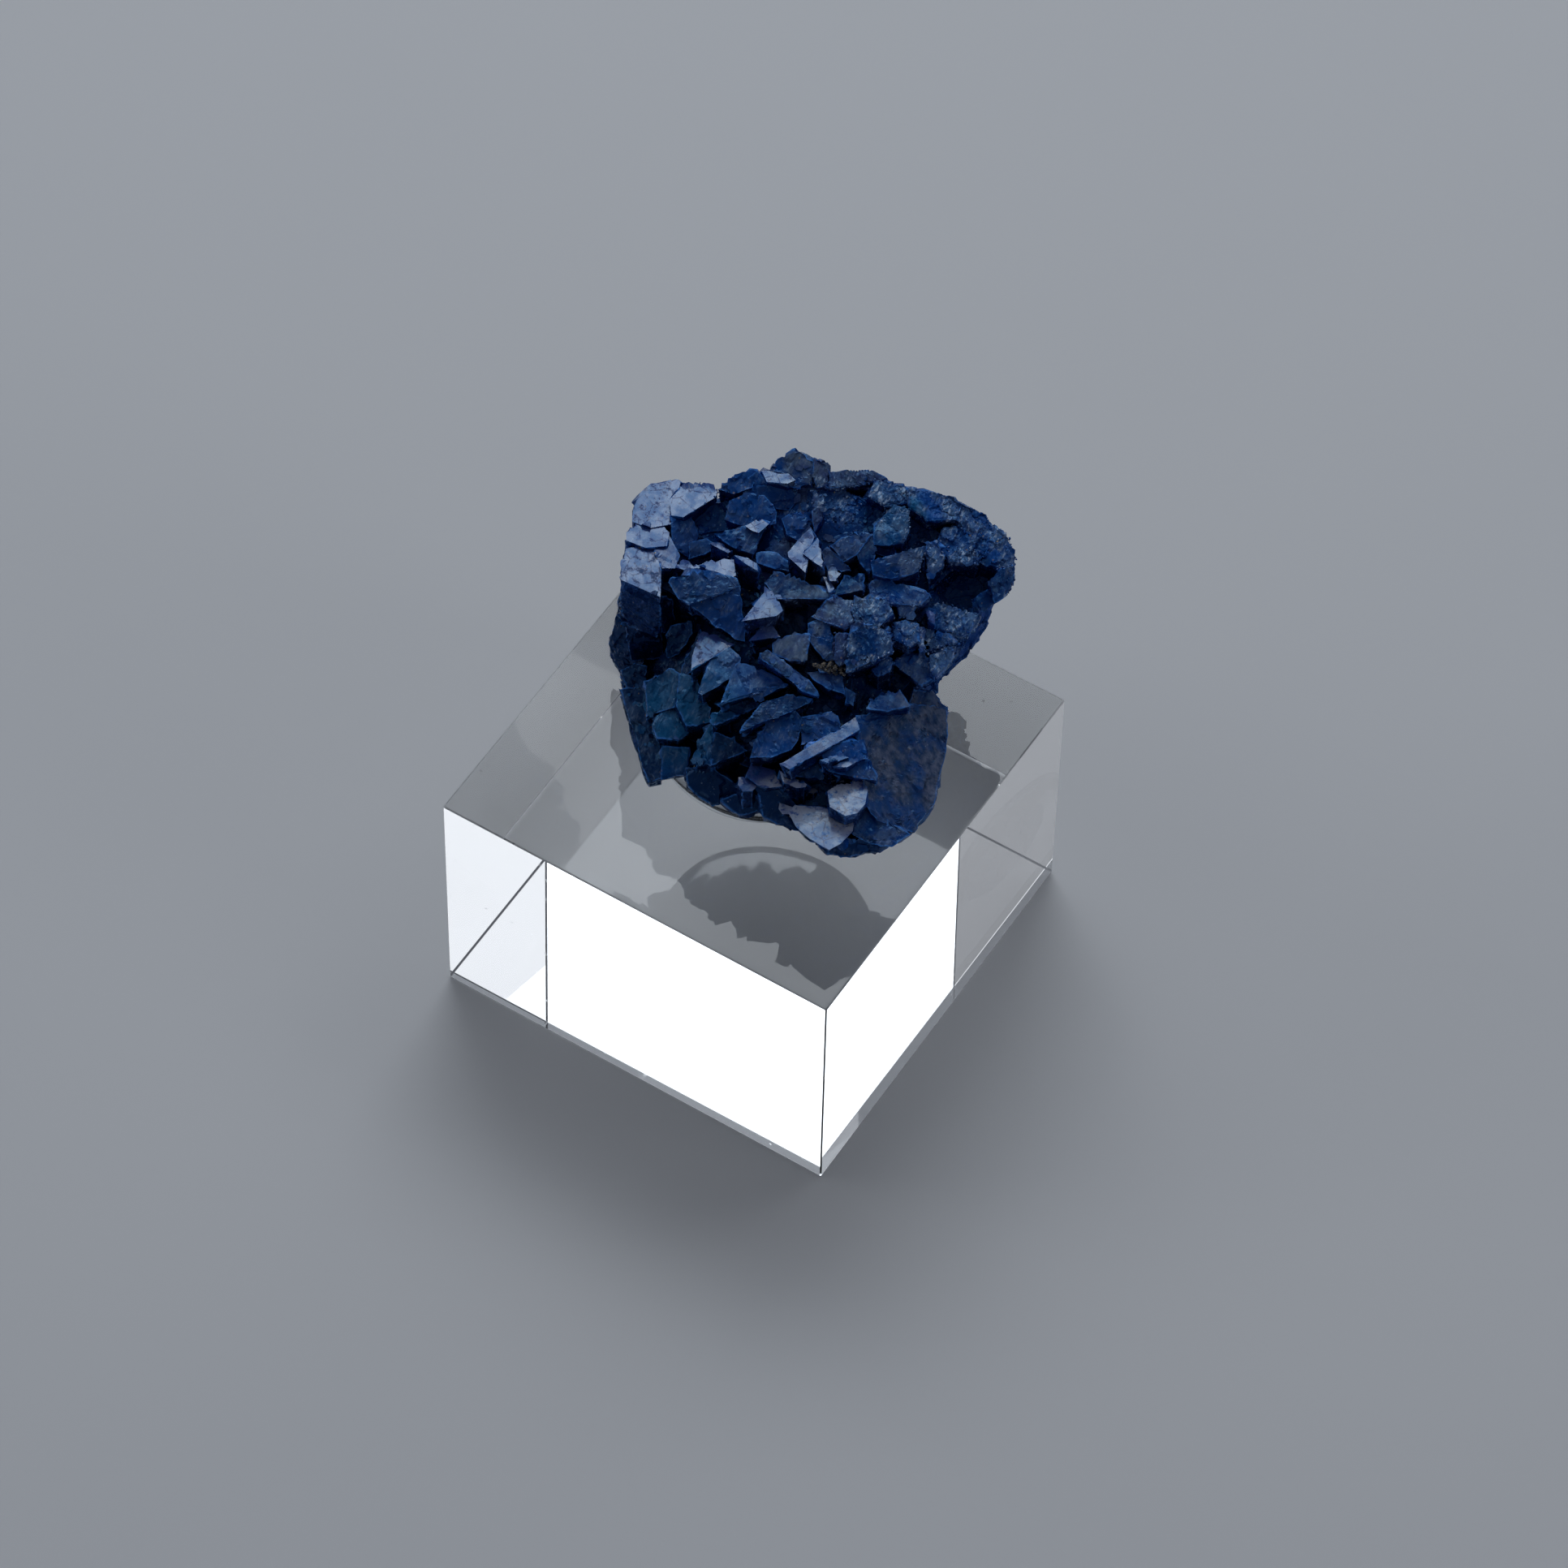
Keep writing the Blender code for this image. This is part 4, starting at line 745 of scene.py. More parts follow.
class Wire:
    """One socket's output, on which arithmetic adds Math nodes."""

    def __init__(self, graph: "Graph", socket: bpy.types.NodeSocket) -> None:
        """Keeps the socket and the graph it belongs to."""
        self.graph = graph
        self.socket = socket

    def maths(self, operation: str, *values: Any) -> "Wire":
        """The result of a Math node with these inputs."""
        return self.graph.node("ShaderNodeMath", {"operation": operation}, dict(enumerate(values)))

    def __add__(self, other: Any) -> "Wire":
        """self + other."""
        return self.maths("ADD", self, other)

    __radd__ = __add__

    def __mul__(self, other: Any) -> "Wire":
        """self * other."""
        return self.maths("MULTIPLY", self, other)

    __rmul__ = __mul__

    def __sub__(self, other: Any) -> "Wire":
        """self - other."""
        return self.maths("SUBTRACT", self, other)

    def __rsub__(self, other: Any) -> "Wire":
        """other - self."""
        return self.maths("SUBTRACT", other, self)

    def __pow__(self, other: Any) -> "Wire":
        """self raised to other."""
        return self.maths("POWER", self, other)

    def larger(self, other: Any) -> "Wire":
        """The larger of self and other."""
        return self.maths("MAXIMUM", self, other)

    def ramp(self, low: float, high: float) -> "Wire":
        """A smooth step, which goes down where low is the larger value.

        Args:
            low: Where it is 0.
            high: Where it is 1.

        Returns:
            The step.
        """
        settings = {"interpolation_type": "SMOOTHSTEP"}
        ends = {0: self, 1: min(low, high), 2: max(low, high)}
        step = self.graph.node("ShaderNodeMapRange", settings, ends)
        return step if low < high else 1.0 - step


class Graph:
    """A material's node tree, written as expressions."""

    def __init__(self, name: str) -> None:
        """Starts a material with a Principled shader alone.

        Args:
            name: The material's name.
        """
        self.material = bpy.data.materials.new(name)
        self.material.use_nodes = True
        self.tree = self.material.node_tree
        self.shader = self.tree.nodes["Principled BSDF"]

    def node(self, kind: str, settings: dict[str, Any], sockets: dict[Any, Any],
             output: int | str = 0) -> Wire:
        """Adds a node.

        Args:
            kind: Its type's identifier.
            settings: Properties, which are set first.
            sockets: Values or wires of its inputs, by name or number.
            output: Which of its outputs is wanted.

        Returns:
            That output.
        """
        node = self.tree.nodes.new(kind)
        for key, value in settings.items():
            setattr(node, key, value)
        for key, value in sockets.items():
            self.feed(node.inputs[key], value)
        return Wire(self, node.outputs[output])

    def feed(self, socket: bpy.types.NodeSocket, value: Any) -> None:
        """Feeds a socket.

        Args:
            socket: The input.
            value: A wire to link to it, or its constant.
        """
        if isinstance(value, Wire):
            self.tree.links.new(value.socket, socket)
        else:
            socket.default_value = value

    def set(self, **sockets: Any) -> None:
        """Feeds the Principled shader: Base_Color stands for its Base Color."""
        for key, value in sockets.items():
            self.feed(self.shader.inputs[key.replace("_", " ")], value)

    def place(self) -> Wire:
        """Object coordinates, in metres."""
        return self.node("ShaderNodeTexCoord", {}, {}, "Object")

    def attribute(self, name: str) -> Wire:
        """A number kept on the mesh."""
        return self.node("ShaderNodeAttribute", {"attribute_name": name}, {}, "Fac")

    def stretched(self, place: Wire, scale: Sequence[float], turn: Sequence[float] = (0, 0, 0)) -> Wire:
        """The place turned by the angles and scaled along each axis."""
        return self.node("ShaderNodeMapping", {}, {"Vector": place, "Rotation": turn, "Scale": scale})

    def noise(self, place: Wire, scale: float, detail: float = 4.0, rough: float = 0.5) -> Wire:
        """Fractal noise from about 0.25 to 0.75."""
        sockets = {"Vector": place, "Scale": scale, "Detail": detail, "Roughness": rough}
        return self.node("ShaderNodeTexNoise", {}, sockets)

    def cells(self, place: Wire, scale: float, output: str = "Distance", feature: str = "F1") -> Wire:
        """Voronoi cells: the distance to the nearest point, or each cell's own colour."""
        sockets = {"Vector": place, "Scale": scale}
        return self.node("ShaderNodeTexVoronoi", {"feature": feature}, sockets, output)

    def mix(self, factor: Any, low: Any, high: Any) -> Wire:
        """The colour low where factor is 0 and high where it is 1."""
        return self.node("ShaderNodeMix", {"data_type": "RGBA"}, {0: factor, 6: low, 7: high}, 2)

    def vector(self, operation: str, *values: Any, output: str = "Vector") -> Wire:
        """The result of a Vector Math node."""
        sockets = dict(enumerate(values))
        return self.node("ShaderNodeVectorMath", {"operation": operation}, sockets, output)

    def dot(self, vector: Wire, other: Any) -> Wire:
        """The dot product of two vectors."""
        return self.vector("DOT_PRODUCT", vector, other, output="Value")

    def scaled(self, vector: Wire, by: Any) -> Wire:
        """The vector times a number."""
        return self.node("ShaderNodeVectorMath", {"operation": "SCALE"}, {0: vector, 3: by})

    def bump(self, height: Wire, strength: float, distance: float) -> Wire:
        """The normal bumped by the height, whose distance is in millimetres."""
        sockets = {"Strength": strength, "Distance": distance * MM, "Height": height}
        return self.node("ShaderNodeBump", {}, sockets)

    def patch(self, place: Wire, patch: Patch, soft: float = 0.35) -> Wire:
        """1 inside a patch of the display side and 0 outside it, with a soft rim.

        Args:
            place: Object coordinates.
            patch: The patch.
            soft: The rim's width over the ellipse's radius.

        Returns:
            The mask. It is a ramp on the length of ((u - u0) / width, (v - v0) / height).
        """
        u, v, wide, high = patch.value
        start = np.array([0.0, 0.0, DISPLAY.top])
        across = self.dot(place, tuple(RIGHT / (wide * MM))) - float(RIGHT @ start + u) / wide
        along = self.dot(place, tuple(UP / (high * MM))) - float(UP @ start + v) / high
        radius = (across * across + along * along) ** 0.5
        return radius.ramp(1.0 + soft / 2.0, 1.0 - soft / 2.0)


class AzuriteMasks:
    """What the azurite's colour, gloss and relief all depend on."""

    def __init__(self, g: Graph) -> None:
        """Reads the facets' numbers and draws noise at 5, 0.8 and 0.15 mm.

        Args:
            g: The graph.
        """
        self.g = g
        self.place = g.place()
        # The cleft and depth marks feed painted shade in the colour.
        self.tone, level, self.steep, self.slate, self.ridge, self.cleft, self.hollow = (
            g.attribute("facet_" + key)
            for key in ("tone", "level", "steep", "slate", "edge", "cleft", "hollow")
        )
        self.level = level * (1.0 - 0.6 * self.within(Patch.LEDGE, 0.3))
        self.cloud = g.noise(self.place, 210.0, 4.0)
        self.mottle = g.noise(self.place, 1300.0, 6.0, 0.62)
        self.grain = g.noise(self.place, 7000.0, 3.0, 0.6)
        self.streaks = g.noise(g.stretched(self.place, (1.0, 1.0, 0.12)), 1300.0, 5.0, 0.65)
        self.druse = self.druse_mask()
        across = g.stretched(self.place, (1.0, 0.35, 0.35), (0.6, 0.2, 0.5))
        self.dashes = g.noise(across, 3200.0, 3.0).ramp(0.54, 0.63)
        self.shade = self.shade_mask()
        self.lips = self.level * self.within(Patch.LIPS, 0.2)
        self.grey = self.level * self.within(Patch.GREY_BLADES, 0.2)
        # Noise that sets the coat and where painted sheen lies.
        self.film_and_sheen = g.noise(self.place, 420.0, 5.0, 0.62).ramp(0.40, 0.62)
        crack = g.cells(self.place, 430.0, "Distance", "DISTANCE_TO_EDGE").ramp(0.026, 0.008)
        pit = g.noise(self.place, 900.0, 6.0, 0.72)
        pit = (pit + (g.noise(self.place, 260.0, 2.0) - 0.5) * 0.5).ramp(0.58, 0.68)
        self.pits = self.level * (0.60 * crack * self.mottle.ramp(0.42, 0.56)).larger(0.9 * pit)

    def within(self, patch: Patch, soft: float = 0.35) -> Wire:
        """1 inside a patch and 0 outside it."""
        return self.g.patch(self.place, patch, soft)

    def shade_mask(self) -> Wire:
        """A mask of the cliff, the cave and the underside, where painted shade darkens the colour."""
        under = self.within(Patch.UNDERSIDE, 0.3) * (1.0 - self.level)
        return self.within(Patch.CLIFF, 0.5).larger(self.within(Patch.CAVE, 0.5)).larger(under)

    def druse_mask(self) -> Wire:
        """Where the crystal is sugary.

        Returns:
            A mask of the druses, with rims broken up by the mottle.
        """
        mask = self.within(DRUSES[0])
        for patch in DRUSES[1:]:
            mask = mask.larger(self.within(patch) * 0.7)
        return (mask + (self.mottle - 0.5) * 1.4).ramp(0.3, 0.8) * mask.ramp(0.0, 0.3)

    def specks(self, scale: float, share: float) -> Wire:
        """Sparse dots.

        Args:
            scale: How many cells there are in a metre.
            share: The share of the cells that have a dot.

        Returns:
            The middles of those cells whose own number is under the share.
        """
        near = self.g.cells(self.place, scale).ramp(0.17, 0.10)
        own = self.g.dot(self.g.cells(self.place, scale, "Color"), (1.0, 0.0, 0.0))
        return near * own.ramp(share + 0.01, share - 0.01)

    def scratches(self, scale: float, turn: Sequence[float]) -> Wire:
        """Thin pale growth lines: where stretched noise passes through its middle value."""
        wave = self.g.noise(self.g.stretched(self.place, (1.0, 0.35, 0.35), turn), scale, 3.0, 0.6)
        return (wave - 0.5).maths("ABSOLUTE").ramp(0.016, 0.003)


@dataclass(frozen=True)
class AzuriteFinish:
    """Glassy blue crystal: deep facets, thin edges with a painted brighter glow, growth lines,
    sugary patches, with painted shade in clefts and hollows, and painted sheen and glints.

    Colours are linear.
    """

    name: str = "azurite"
    deep: Colour = (0.0005, 0.017, 0.090, 1.0)
    midnight: Colour = (0.0006, 0.034, 0.190, 1.0)
    royal: Colour = (0.003, 0.060, 0.300, 1.0)
    teal: Colour = (0.004, 0.095, 0.230, 1.0)
    cobalt: Colour = (0.005, 0.064, 0.340, 1.0)
    # Painted glow along ridges.
    edge: Colour = (0.045, 0.200, 0.640, 1.0)
    # Painted sheen of level facets.
    level_sheen: Colour = (0.060, 0.095, 0.330, 1.0)
    sugar: Colour = (0.080, 0.210, 0.480, 1.0)
    slate: Colour = (0.009, 0.028, 0.095, 1.0)
    ochre: Colour = (0.150, 0.165, 0.250, 1.0)
    # Painted mauve-grey reflection on some facets.
    mauve_sheen: Colour = (0.080, 0.085, 0.150, 1.0)
    # Painted grey sheen.
    haze: Colour = (0.130, 0.180, 0.270, 1.0)
    # Painted pale highlight on the lips.
    lip_sheen: Colour = (0.400, 0.440, 0.560, 1.0)
    gleam: Colour = (0.18, 0.58, 1.0, 1.0)
    # Painted glints.
    painted_glint: Colour = (0.500, 0.640, 0.860, 1.0)
    dust_and_sheen: Colour = (0.500, 0.360, 0.170, 1.0)

    def material(self) -> bpy.types.Material:
        """Builds the material.

        Returns:
            A Principled material whose colour, roughness, coat and normal change over the
            surface by facet, by patch and by noise at 5, 0.8 and 0.15 mm.
        """
        g = Graph(self.name)
        m = AzuriteMasks(g)
        rough = 0.10 + 0.14 * m.tone + 0.30 * (m.mottle - 0.35)
        rough = rough + 0.14 * m.druse + 0.22 * m.slate + 0.45 * m.pits
        film_and_sheen = (0.12 + 0.46 * m.film_and_sheen) * (1.0 - 0.6 * m.lips - 0.45 * m.grey)
        g.set(
            Base_Color=self.colour(g, m),
            Roughness=rough.maths("MINIMUM", rough.larger(0.08), 0.70),
            Metallic=0.75 * m.steep * (1.0 - m.ridge),
            IOR=1.73,
            Specular_IOR_Level=0.32,
            Specular_Tint=self.gleam,
            Coat_Weight=0.04 + m.level * (1.0 - m.pits) * film_and_sheen,
            Coat_Roughness=0.07,
            Coat_IOR=1.8,
            Normal=self.relief(g, m),
        )
        return g.material

    def colour(self, g: Graph, m: AzuriteMasks) -> Wire:
        """The base colour.

        Args:
            g: The graph.
            m: The masks.

        Returns:
            Deep to royal blue by facet and cloud, the darks clearer to the right and the top,
            darkened by painted shade in clefts, hollows and the cliff, cave and underside; then teal
            and cobalt by patch, slate on the flat side, painted sheen on level facets, on the lips and
            in grey and mauve patches, a painted glow on ridges, sugar that is partly painted sheen,
            lines, painted glints and specks.
        """
        east = g.dot(m.place, tuple(RIGHT)).ramp(0.004, 0.020)
        north = g.dot(m.place, tuple(UP)).ramp(0.036, 0.044)
        teal = m.within(Patch.TEAL_CORNER, 0.9).larger(m.within(Patch.TEAL_FACE))
        body = g.mix(east * 0.8, self.royal, self.cobalt)
        body = g.mix(teal * 0.8, body, self.teal)
        light = (m.tone * 0.8 + m.cloud * 0.9 + m.mottle * 0.5 - 0.62).ramp(0.0, 0.82)
        # Painted shade: the colour darkens towards deep in clefts, in hollows and in the cliff, cave and
        # underside patches.
        sunk = (1.0 - 0.6 * m.cleft) * (1.0 - 0.85 * m.hollow) * (1.0 - 0.85 * m.shade)
        body = g.mix(light * sunk, g.mix(east.larger(north), self.deep, self.midnight), body)
        # Where painted grey sheen lies, and the facets that get painted mauve sheen.
        sheen_zone = m.within(Patch.SHEEN_ZONE, 0.6).larger(m.within(Patch.BACK_RIDGE))
        mauve_sheen_share = sheen_zone.larger(m.within(Patch.MAUVE_SHEEN, 0.4)) * m.tone.ramp(0.60, 0.64)
        broad = g.noise(g.stretched(m.place, (1.0, 1.0, 0.3)), 420.0, 4.0)
        flat = g.mix((m.streaks + broad * 0.6 - 0.3).ramp(0.36, 0.76), self.slate, self.ochre)
        # Painted shade keeps the painted sheen below out of clefts, hollows and the shaded patches.
        in_painted_shade = m.shade.larger(m.cleft).larger(m.hollow)
        out_of_painted_shade = (1.0 - 0.85 * in_painted_shade) * (1.0 - 0.8 * m.slate)
        # Share of painted grey sheen: more to the right, and most in its patches.
        dust_and_sheen = (0.22 + 0.38 * east).larger(sheen_zone * 0.9)
        # On druse: its paler sugar colour, partly painted sheen, and painted glints.
        druse_sheen = m.film_and_sheen * (m.druse * 0.85 + 0.15) * out_of_painted_shade
        # Painted highlight: a brighter blue glow along ridges.
        ridge = m.ridge.ramp(0.35, 1.0) * m.mottle.ramp(0.36, 0.56) * (0.95 - 0.9 * m.level)
        lines = m.scratches(900.0, (0.3, 0.5, 0.9)).larger(m.scratches(620.0, (0.9, 0.2, 0.2)))
        # Painted glints: tiny bright dots.
        glints = m.specks(1400.0, 0.4).larger(m.specks(2300.0, 0.3))
        rare = g.noise(m.place, 300.0, 2.0).ramp(0.50, 0.58) * (0.35 + m.cleft)
        for share, tint in (
            # Painted reflection: mauve-grey sheen on some facets.
            (mauve_sheen_share * 0.5, self.mauve_sheen),
            # Painted reflection: level facets lightened as if they mirrored the key light.
            (m.level * (1.0 - m.pits) * (m.mottle + 0.25), self.level_sheen),
            (m.slate * (broad.ramp(0.34, 0.56) * 0.5 + 0.45), flat),
            # Painted sheen: a grey reflective film.
            (m.film_and_sheen * out_of_painted_shade * dust_and_sheen * (0.4 + m.mottle), self.haze),
            (druse_sheen * (m.grain.ramp(0.42, 0.62) * 0.6 + 0.25), self.sugar),
            # Painted glints: pale sparkling streaks on druse.
            (druse_sheen * m.dashes * 0.9, self.painted_glint),
            # Painted highlight: the lips made pale.
            (m.lips * m.mottle.ramp(0.36, 0.50) * (0.5 + 0.4 * m.film_and_sheen), self.lip_sheen),
            (ridge, self.edge),
            (lines * (0.35 + 0.4 * m.druse) * m.cloud.ramp(0.40, 0.52), self.sugar),
            (glints * (0.25 + 0.75 * m.druse) * m.cloud.ramp(0.42, 0.58), self.painted_glint),
            (m.specks(1100.0, 0.5) * rare, self.dust_and_sheen),
        ):
            body = g.mix(share, body, tint)
        return body

    def relief(self, g: Graph, m: AzuriteMasks) -> Wire:
        """The normal: growth lines and pits, and glittering cells on druse.

        Args:
            g: The graph.
            m: The masks.

        Returns:
            The bumped normal, to which grains on a druse and plates elsewhere add a tilt
            of their own.
        """
        fine = g.noise(g.stretched(m.place, (1.0, 0.16, 0.16), (0.4, 0.9, 0.3)), 2600.0, 3.0, 0.55)
        height = m.mottle * 0.9 + m.grain * 0.22 + fine * 0.35 + m.streaks * m.slate * 0.8
        calm = 1.0 - 0.6 * m.level * (1.0 - m.pits)
        normal = g.bump(height * calm, 0.7, 0.09)
        plates = g.stretched(m.place, (1.0, 0.45, 0.6), (0.5, 0.2, 0.8))
        for place, scale, strength in (
            (m.place, 3800.0, m.druse * 0.40 + 0.16 * calm), (plates, 1100.0, 0.22 * calm)
        ):
            tilt = g.vector("SUBTRACT", g.cells(place, scale, "Color"), (0.5, 0.5, 0.5))
            normal = g.vector("ADD", normal, g.scaled(tilt, strength))
        return g.vector("NORMALIZE", normal)


@dataclass(frozen=True)
class MottledFinish:
    """A plain look that one noise mottles.

    noise is its scale and detail; rough the roughness where it is 0 and the rise to where it
    is 1; bump the relief's strength and its height in millimetres; dark the colour of its
    low places, if they have one.
    """

    name: str
    light: Colour
    noise: Pair
    rough: Pair
    bump: Pair | None = None
    dark: Colour | None = None
    ior: float = 1.5
    transmission: float = 0.0

    def material(self) -> bpy.types.Material:
        """Builds the material.

        Returns:
            A Principled material.
        """
        g = Graph(self.name)
        mottle = g.noise(g.place(), *self.noise)
        light = g.mix(mottle.ramp(0.42, 0.62), self.dark, self.light) if self.dark else self.light
        g.set(Base_Color=light, Roughness=self.rough[0] + self.rough[1] * mottle)
        g.set(IOR=self.ior, Transmission_Weight=self.transmission)
        if self.bump:
            g.set(Normal=g.bump(mottle, *self.bump))
        return g.material


PUTTY = MottledFinish("putty", (0.93, 0.955, 0.97, 1.0), (700.0, 3.0), (0.03, 0.12), (0.25, 0.1),
                      ior=1.45, transmission=1.0)
IRON_STAIN = MottledFinish("iron_stain", (0.30, 0.26, 0.20, 1.0), (3500.0, 4.0), (0.7, 0.2),
                           (0.6, 0.05), (0.030, 0.040, 0.065, 1.0))
RUST = replace(IRON_STAIN, name="rusty_grain", light=(0.50, 0.42, 0.27, 1.0),
               dark=(0.10, 0.09, 0.08, 1.0))
PALE_FLOOR = MottledFinish("pale_floor", (0.74, 0.75, 0.77, 1.0), (40.0, 3.0), (0.72, 0.12))


@dataclass(frozen=True)
class AcrylicFinish:
    """Clear cast acrylic: polished, with a breath of haze and hairline scuffs."""

    name: str = "acrylic"
    tint: Colour = (0.985, 0.992, 1.0, 1.0)

    def material(self) -> bpy.types.Material:
        """Builds the material.

        Returns:
            A transmitting material whose roughness rises on specks and scuffs.
        """
        g = Graph(self.name)
        place = g.place()
        speck = g.cells(place, 260.0).ramp(0.055, 0.035)
        scuff = g.noise(g.stretched(place, (1.0, 0.05, 1.0), (0.0, 0.0, 0.7)), 900.0, 2.0).ramp(0.66, 0.70)
        g.set(
            Base_Color=self.tint, Roughness=0.25 * speck + 0.05 * scuff, IOR=1.49,
            Transmission_Weight=1.0,
        )
        return g.material


# --------------------------------------------------------------------------- assemblies


def show(thing: bpy.types.Object, material: bpy.types.Material, node: str | None) -> None:
    """Dresses a piece and ties it to the frame.

    Args:
        thing: The piece.
        material: Its material.
        node: The CAD node that it stands for.
    """
    thing.data.materials.clear()
    thing.data.materials.append(material)
    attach(thing, "root")
    if node:
        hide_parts(node)
    LOG.info("piece %s: %d faces", thing.name, len(thing.data.polygons))


@dataclass(frozen=True)
class Planes:
    """Small crystal faces in relief.

    Each pair is the width of a face and the share of its tilt that is used; step is the
    largest difference in height between faces, over their width.
    """

    pairs: tuple[Pair, ...]
    step: float = 0.5


@dataclass(frozen=True)
class Relief:
    """How the body's faces are broken up.

    edge is the longest edge of a triangle, rounding how many times druse is evened out,
    lumps their width and height, calm how much of the mosaic level facets lose, and gap how
    far the relief stays inside the CAD model's box.
    """

    druse_edge: float = 0.30
    display_edge: float = 0.53
    hidden_edge: float = 1.15
    passes: int = 8
    rounding: int = 14
    lumps: Pair = (2.6, 0.30)
    druse: Planes = Planes(((1.7, 0.32), (0.6, 0.26)))
    mosaic: Planes = Planes(((2.3, 0.11), (0.9, 0.10)), 1.6)
    hidden: Planes = Planes(((3.4, 0.42), (1.5, 0.40)))
    calm: float = 0.9
    top_gap: float = 0.01
    side_gap: float = 0.05


@dataclass
class CrystalCluster:
    """The azurite: the fused crystals, with the small ones that grew between and on them.

    A facet is level, steep or slate by a ramp on how far its normal turns up or to the flat
    side: each pair is where the ramp starts and how wide it is. Relief rises from the foot,
    over the pad, in the same way.
    """

    node: str = "azurite_cluster"
    seed: int = 7
    least_turn: float = 0.12
    deep_turn: float = -0.5
    overhang: float = 0.55
    seam_depth: float = -8.0
    bare_foot: float = 2.6
    plain_ridges: float = 0.12
    crease: float = 16.0
    level: Pair = (0.972, 0.02)
    steep: Pair = (-0.42, 0.3)
    slate: Pair = (0.80, 0.1)
    foot: Pair = (2.0, 1.2)
    plane_steps: Pair = (60.0, 4.0)
    relief: Relief = Relief()
    crevice: Growth = Growth(Habit.RHOMB, 60, (0.2, 0.55), proud=(-0.1, 0.3), splay=0.5)
    tufts: Growth = Growth(Habit.WEDGE, 170, (0.4, 1.3), thin=(0.4, 0.7), proud=(-0.2, 0.15),
                           splay=0.35)
    steps: Growth = Growth(Habit.STEP, 620, (0.4, 1.5), thin=(0.5, 0.9), tall=(0.35, 0.6),
                           proud=(0.07, 0.20), splay=0.03, parallel=6.0)
    stain: Growth = Growth(Habit.GRAIN, 620, (0.08, 0.20), proud=(0.3, 1.2), splay=0.9)
    crumbs: Growth = Growth(Habit.GRAIN, 900, (0.10, 0.26), proud=(-0.3, 0.15), splay=0.8)
    sugar: Growth = Growth(Habit.GRAIN, 1000, (0.15, 0.40), proud=(-0.4, 0.05), splay=0.7)
    flank: Growth = Growth(Habit.WEDGE, 420, (1.2, 3.2), thin=(0.5, 1.0), splay=0.5)
    flank_small: Growth = Growth(Habit.RHOMB, 1100, (0.5, 1.6), splay=0.6)
    pieces: list[bpy.types.Object] = field(default_factory=list)
    grains: bpy.types.Object | None = None

    def build(self) -> None:
        """Makes the pieces: the body, the small crystals between its blades, and the flanks'."""
        draw = np.random.default_rng(self.seed)
        solid = Surface.of_node(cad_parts[self.node])
        screen = BVHTree.FromPolygons(solid.points.tolist(), solid.faces.tolist())
        body, marks = self.carve(solid, screen, draw)
        self.pieces.append(body.to_object("azurite_body", marks, math.radians(self.crease)))
        seams = solid.seams()
        between = self.along(seams, -1.0, self.crevice, draw)
        deep = seams.picked((seams.turn < self.deep_turn) & (seams.normal[:, 2] < self.overhang))
        tufts = self.along(deep, -1.0, self.tufts, draw)
        chips = self.along(seams, 1.0, self.crumbs, draw)
        sugar = self.over(solid, self.sugar, self.sugar_share, draw)
        steps = self.over(solid, self.steps, self.step_share, draw)
        flank = self.over(solid, self.flank, self.hidden_share, draw, screen)
        small = self.over(solid, self.flank_small, self.hidden_share, draw, screen)
        stain = self.along(seams, -1.0, self.stain, draw)
        self.grains = stain.to_object("iron_grains")
        crops = {"azurite_druse": [between, tufts, chips, sugar, steps], "azurite_flanks": [flank, small]}
        for name, crop in crops.items():
            surface = Surface.joined(crop)
            self.pieces.append(surface.to_object(name, self.facets(surface, draw)))

    def carve(self, solid: Surface, screen: BVHTree,
              draw: Chance) -> tuple[Surface, dict[str, Array]]:
        """Cuts the solid's faces fine and gives them the relief of grown crystal.

        Args:
            solid: The CAD solid.
            screen: The same solid, ready for lines of sight.
            draw: The source of chance.

        Returns:
            The body, and numbers for its faces and points.
        """
        marks = self.facets(solid, draw)
        body, source = solid, np.arange(len(solid.faces))
        for _ in range(self.relief.passes):
            body, parents = body.split(lambda places: self.edge_limit(places, screen))
            source = source[parents]
        marks = {key: values[source] for key, values in marks.items()}
        marks |= self.edge_marks(body, solid.normals()[source])
        self.raise_relief(body, marks["facet_level"])
        # Painted shade: how far each point lies below its surroundings, which darkens the colour.
        marks["facet_hollow"] = hollows(DISPLAY.seen(body.points))
        return body, marks

    def raise_relief(self, body: Surface, level: Array) -> None:
        """Moves the body's points.

        A point moves along its normal by the sum of the relief's planes and lumps, each times
        its share: druse, where points are first rounded; mosaic on the rest of the display
        side, but hardly on level facets, which stay smooth; hidden elsewhere.

        Args:
            body: The finely cut body.
            level: How level each of its faces is, from 0 to 1.
        """
        relief = self.relief
        druse, display, hidden = self.shares(body)
        display *= 1.0 - relief.calm * body.at_points(level)
        body.points = body.spread(body.points, 1.0 - 0.5 * druse, relief.rounding)
        place, out = body.points, body.point_normals()
        chance = Lattice(self.seed)
        rise = druse * relief.lumps[1] * chance.cloud(place, relief.lumps[0])
        for share, planes in (
            (druse, relief.druse), (display, relief.mosaic), (hidden, relief.hidden)
        ):
            here = np.nonzero(share > 0.01)[0]
            for size, tilt in planes.pairs:
                rise[here] += share[here] * tilt * chance.tilted(place[here], size, planes.step)
        rise *= rising(place[:, 2] - DISPLAY.top, *self.foot)
        body.points = place + out * rise[:, None]
        top, side = CAD_BOX[1][2] / MM - relief.top_gap, CAD_BOX[1][0] / MM - relief.side_gap
        body.points[:, 2] = np.minimum(body.points[:, 2], top)
        body.points[:, :2] = np.clip(body.points[:, :2], -side, side)

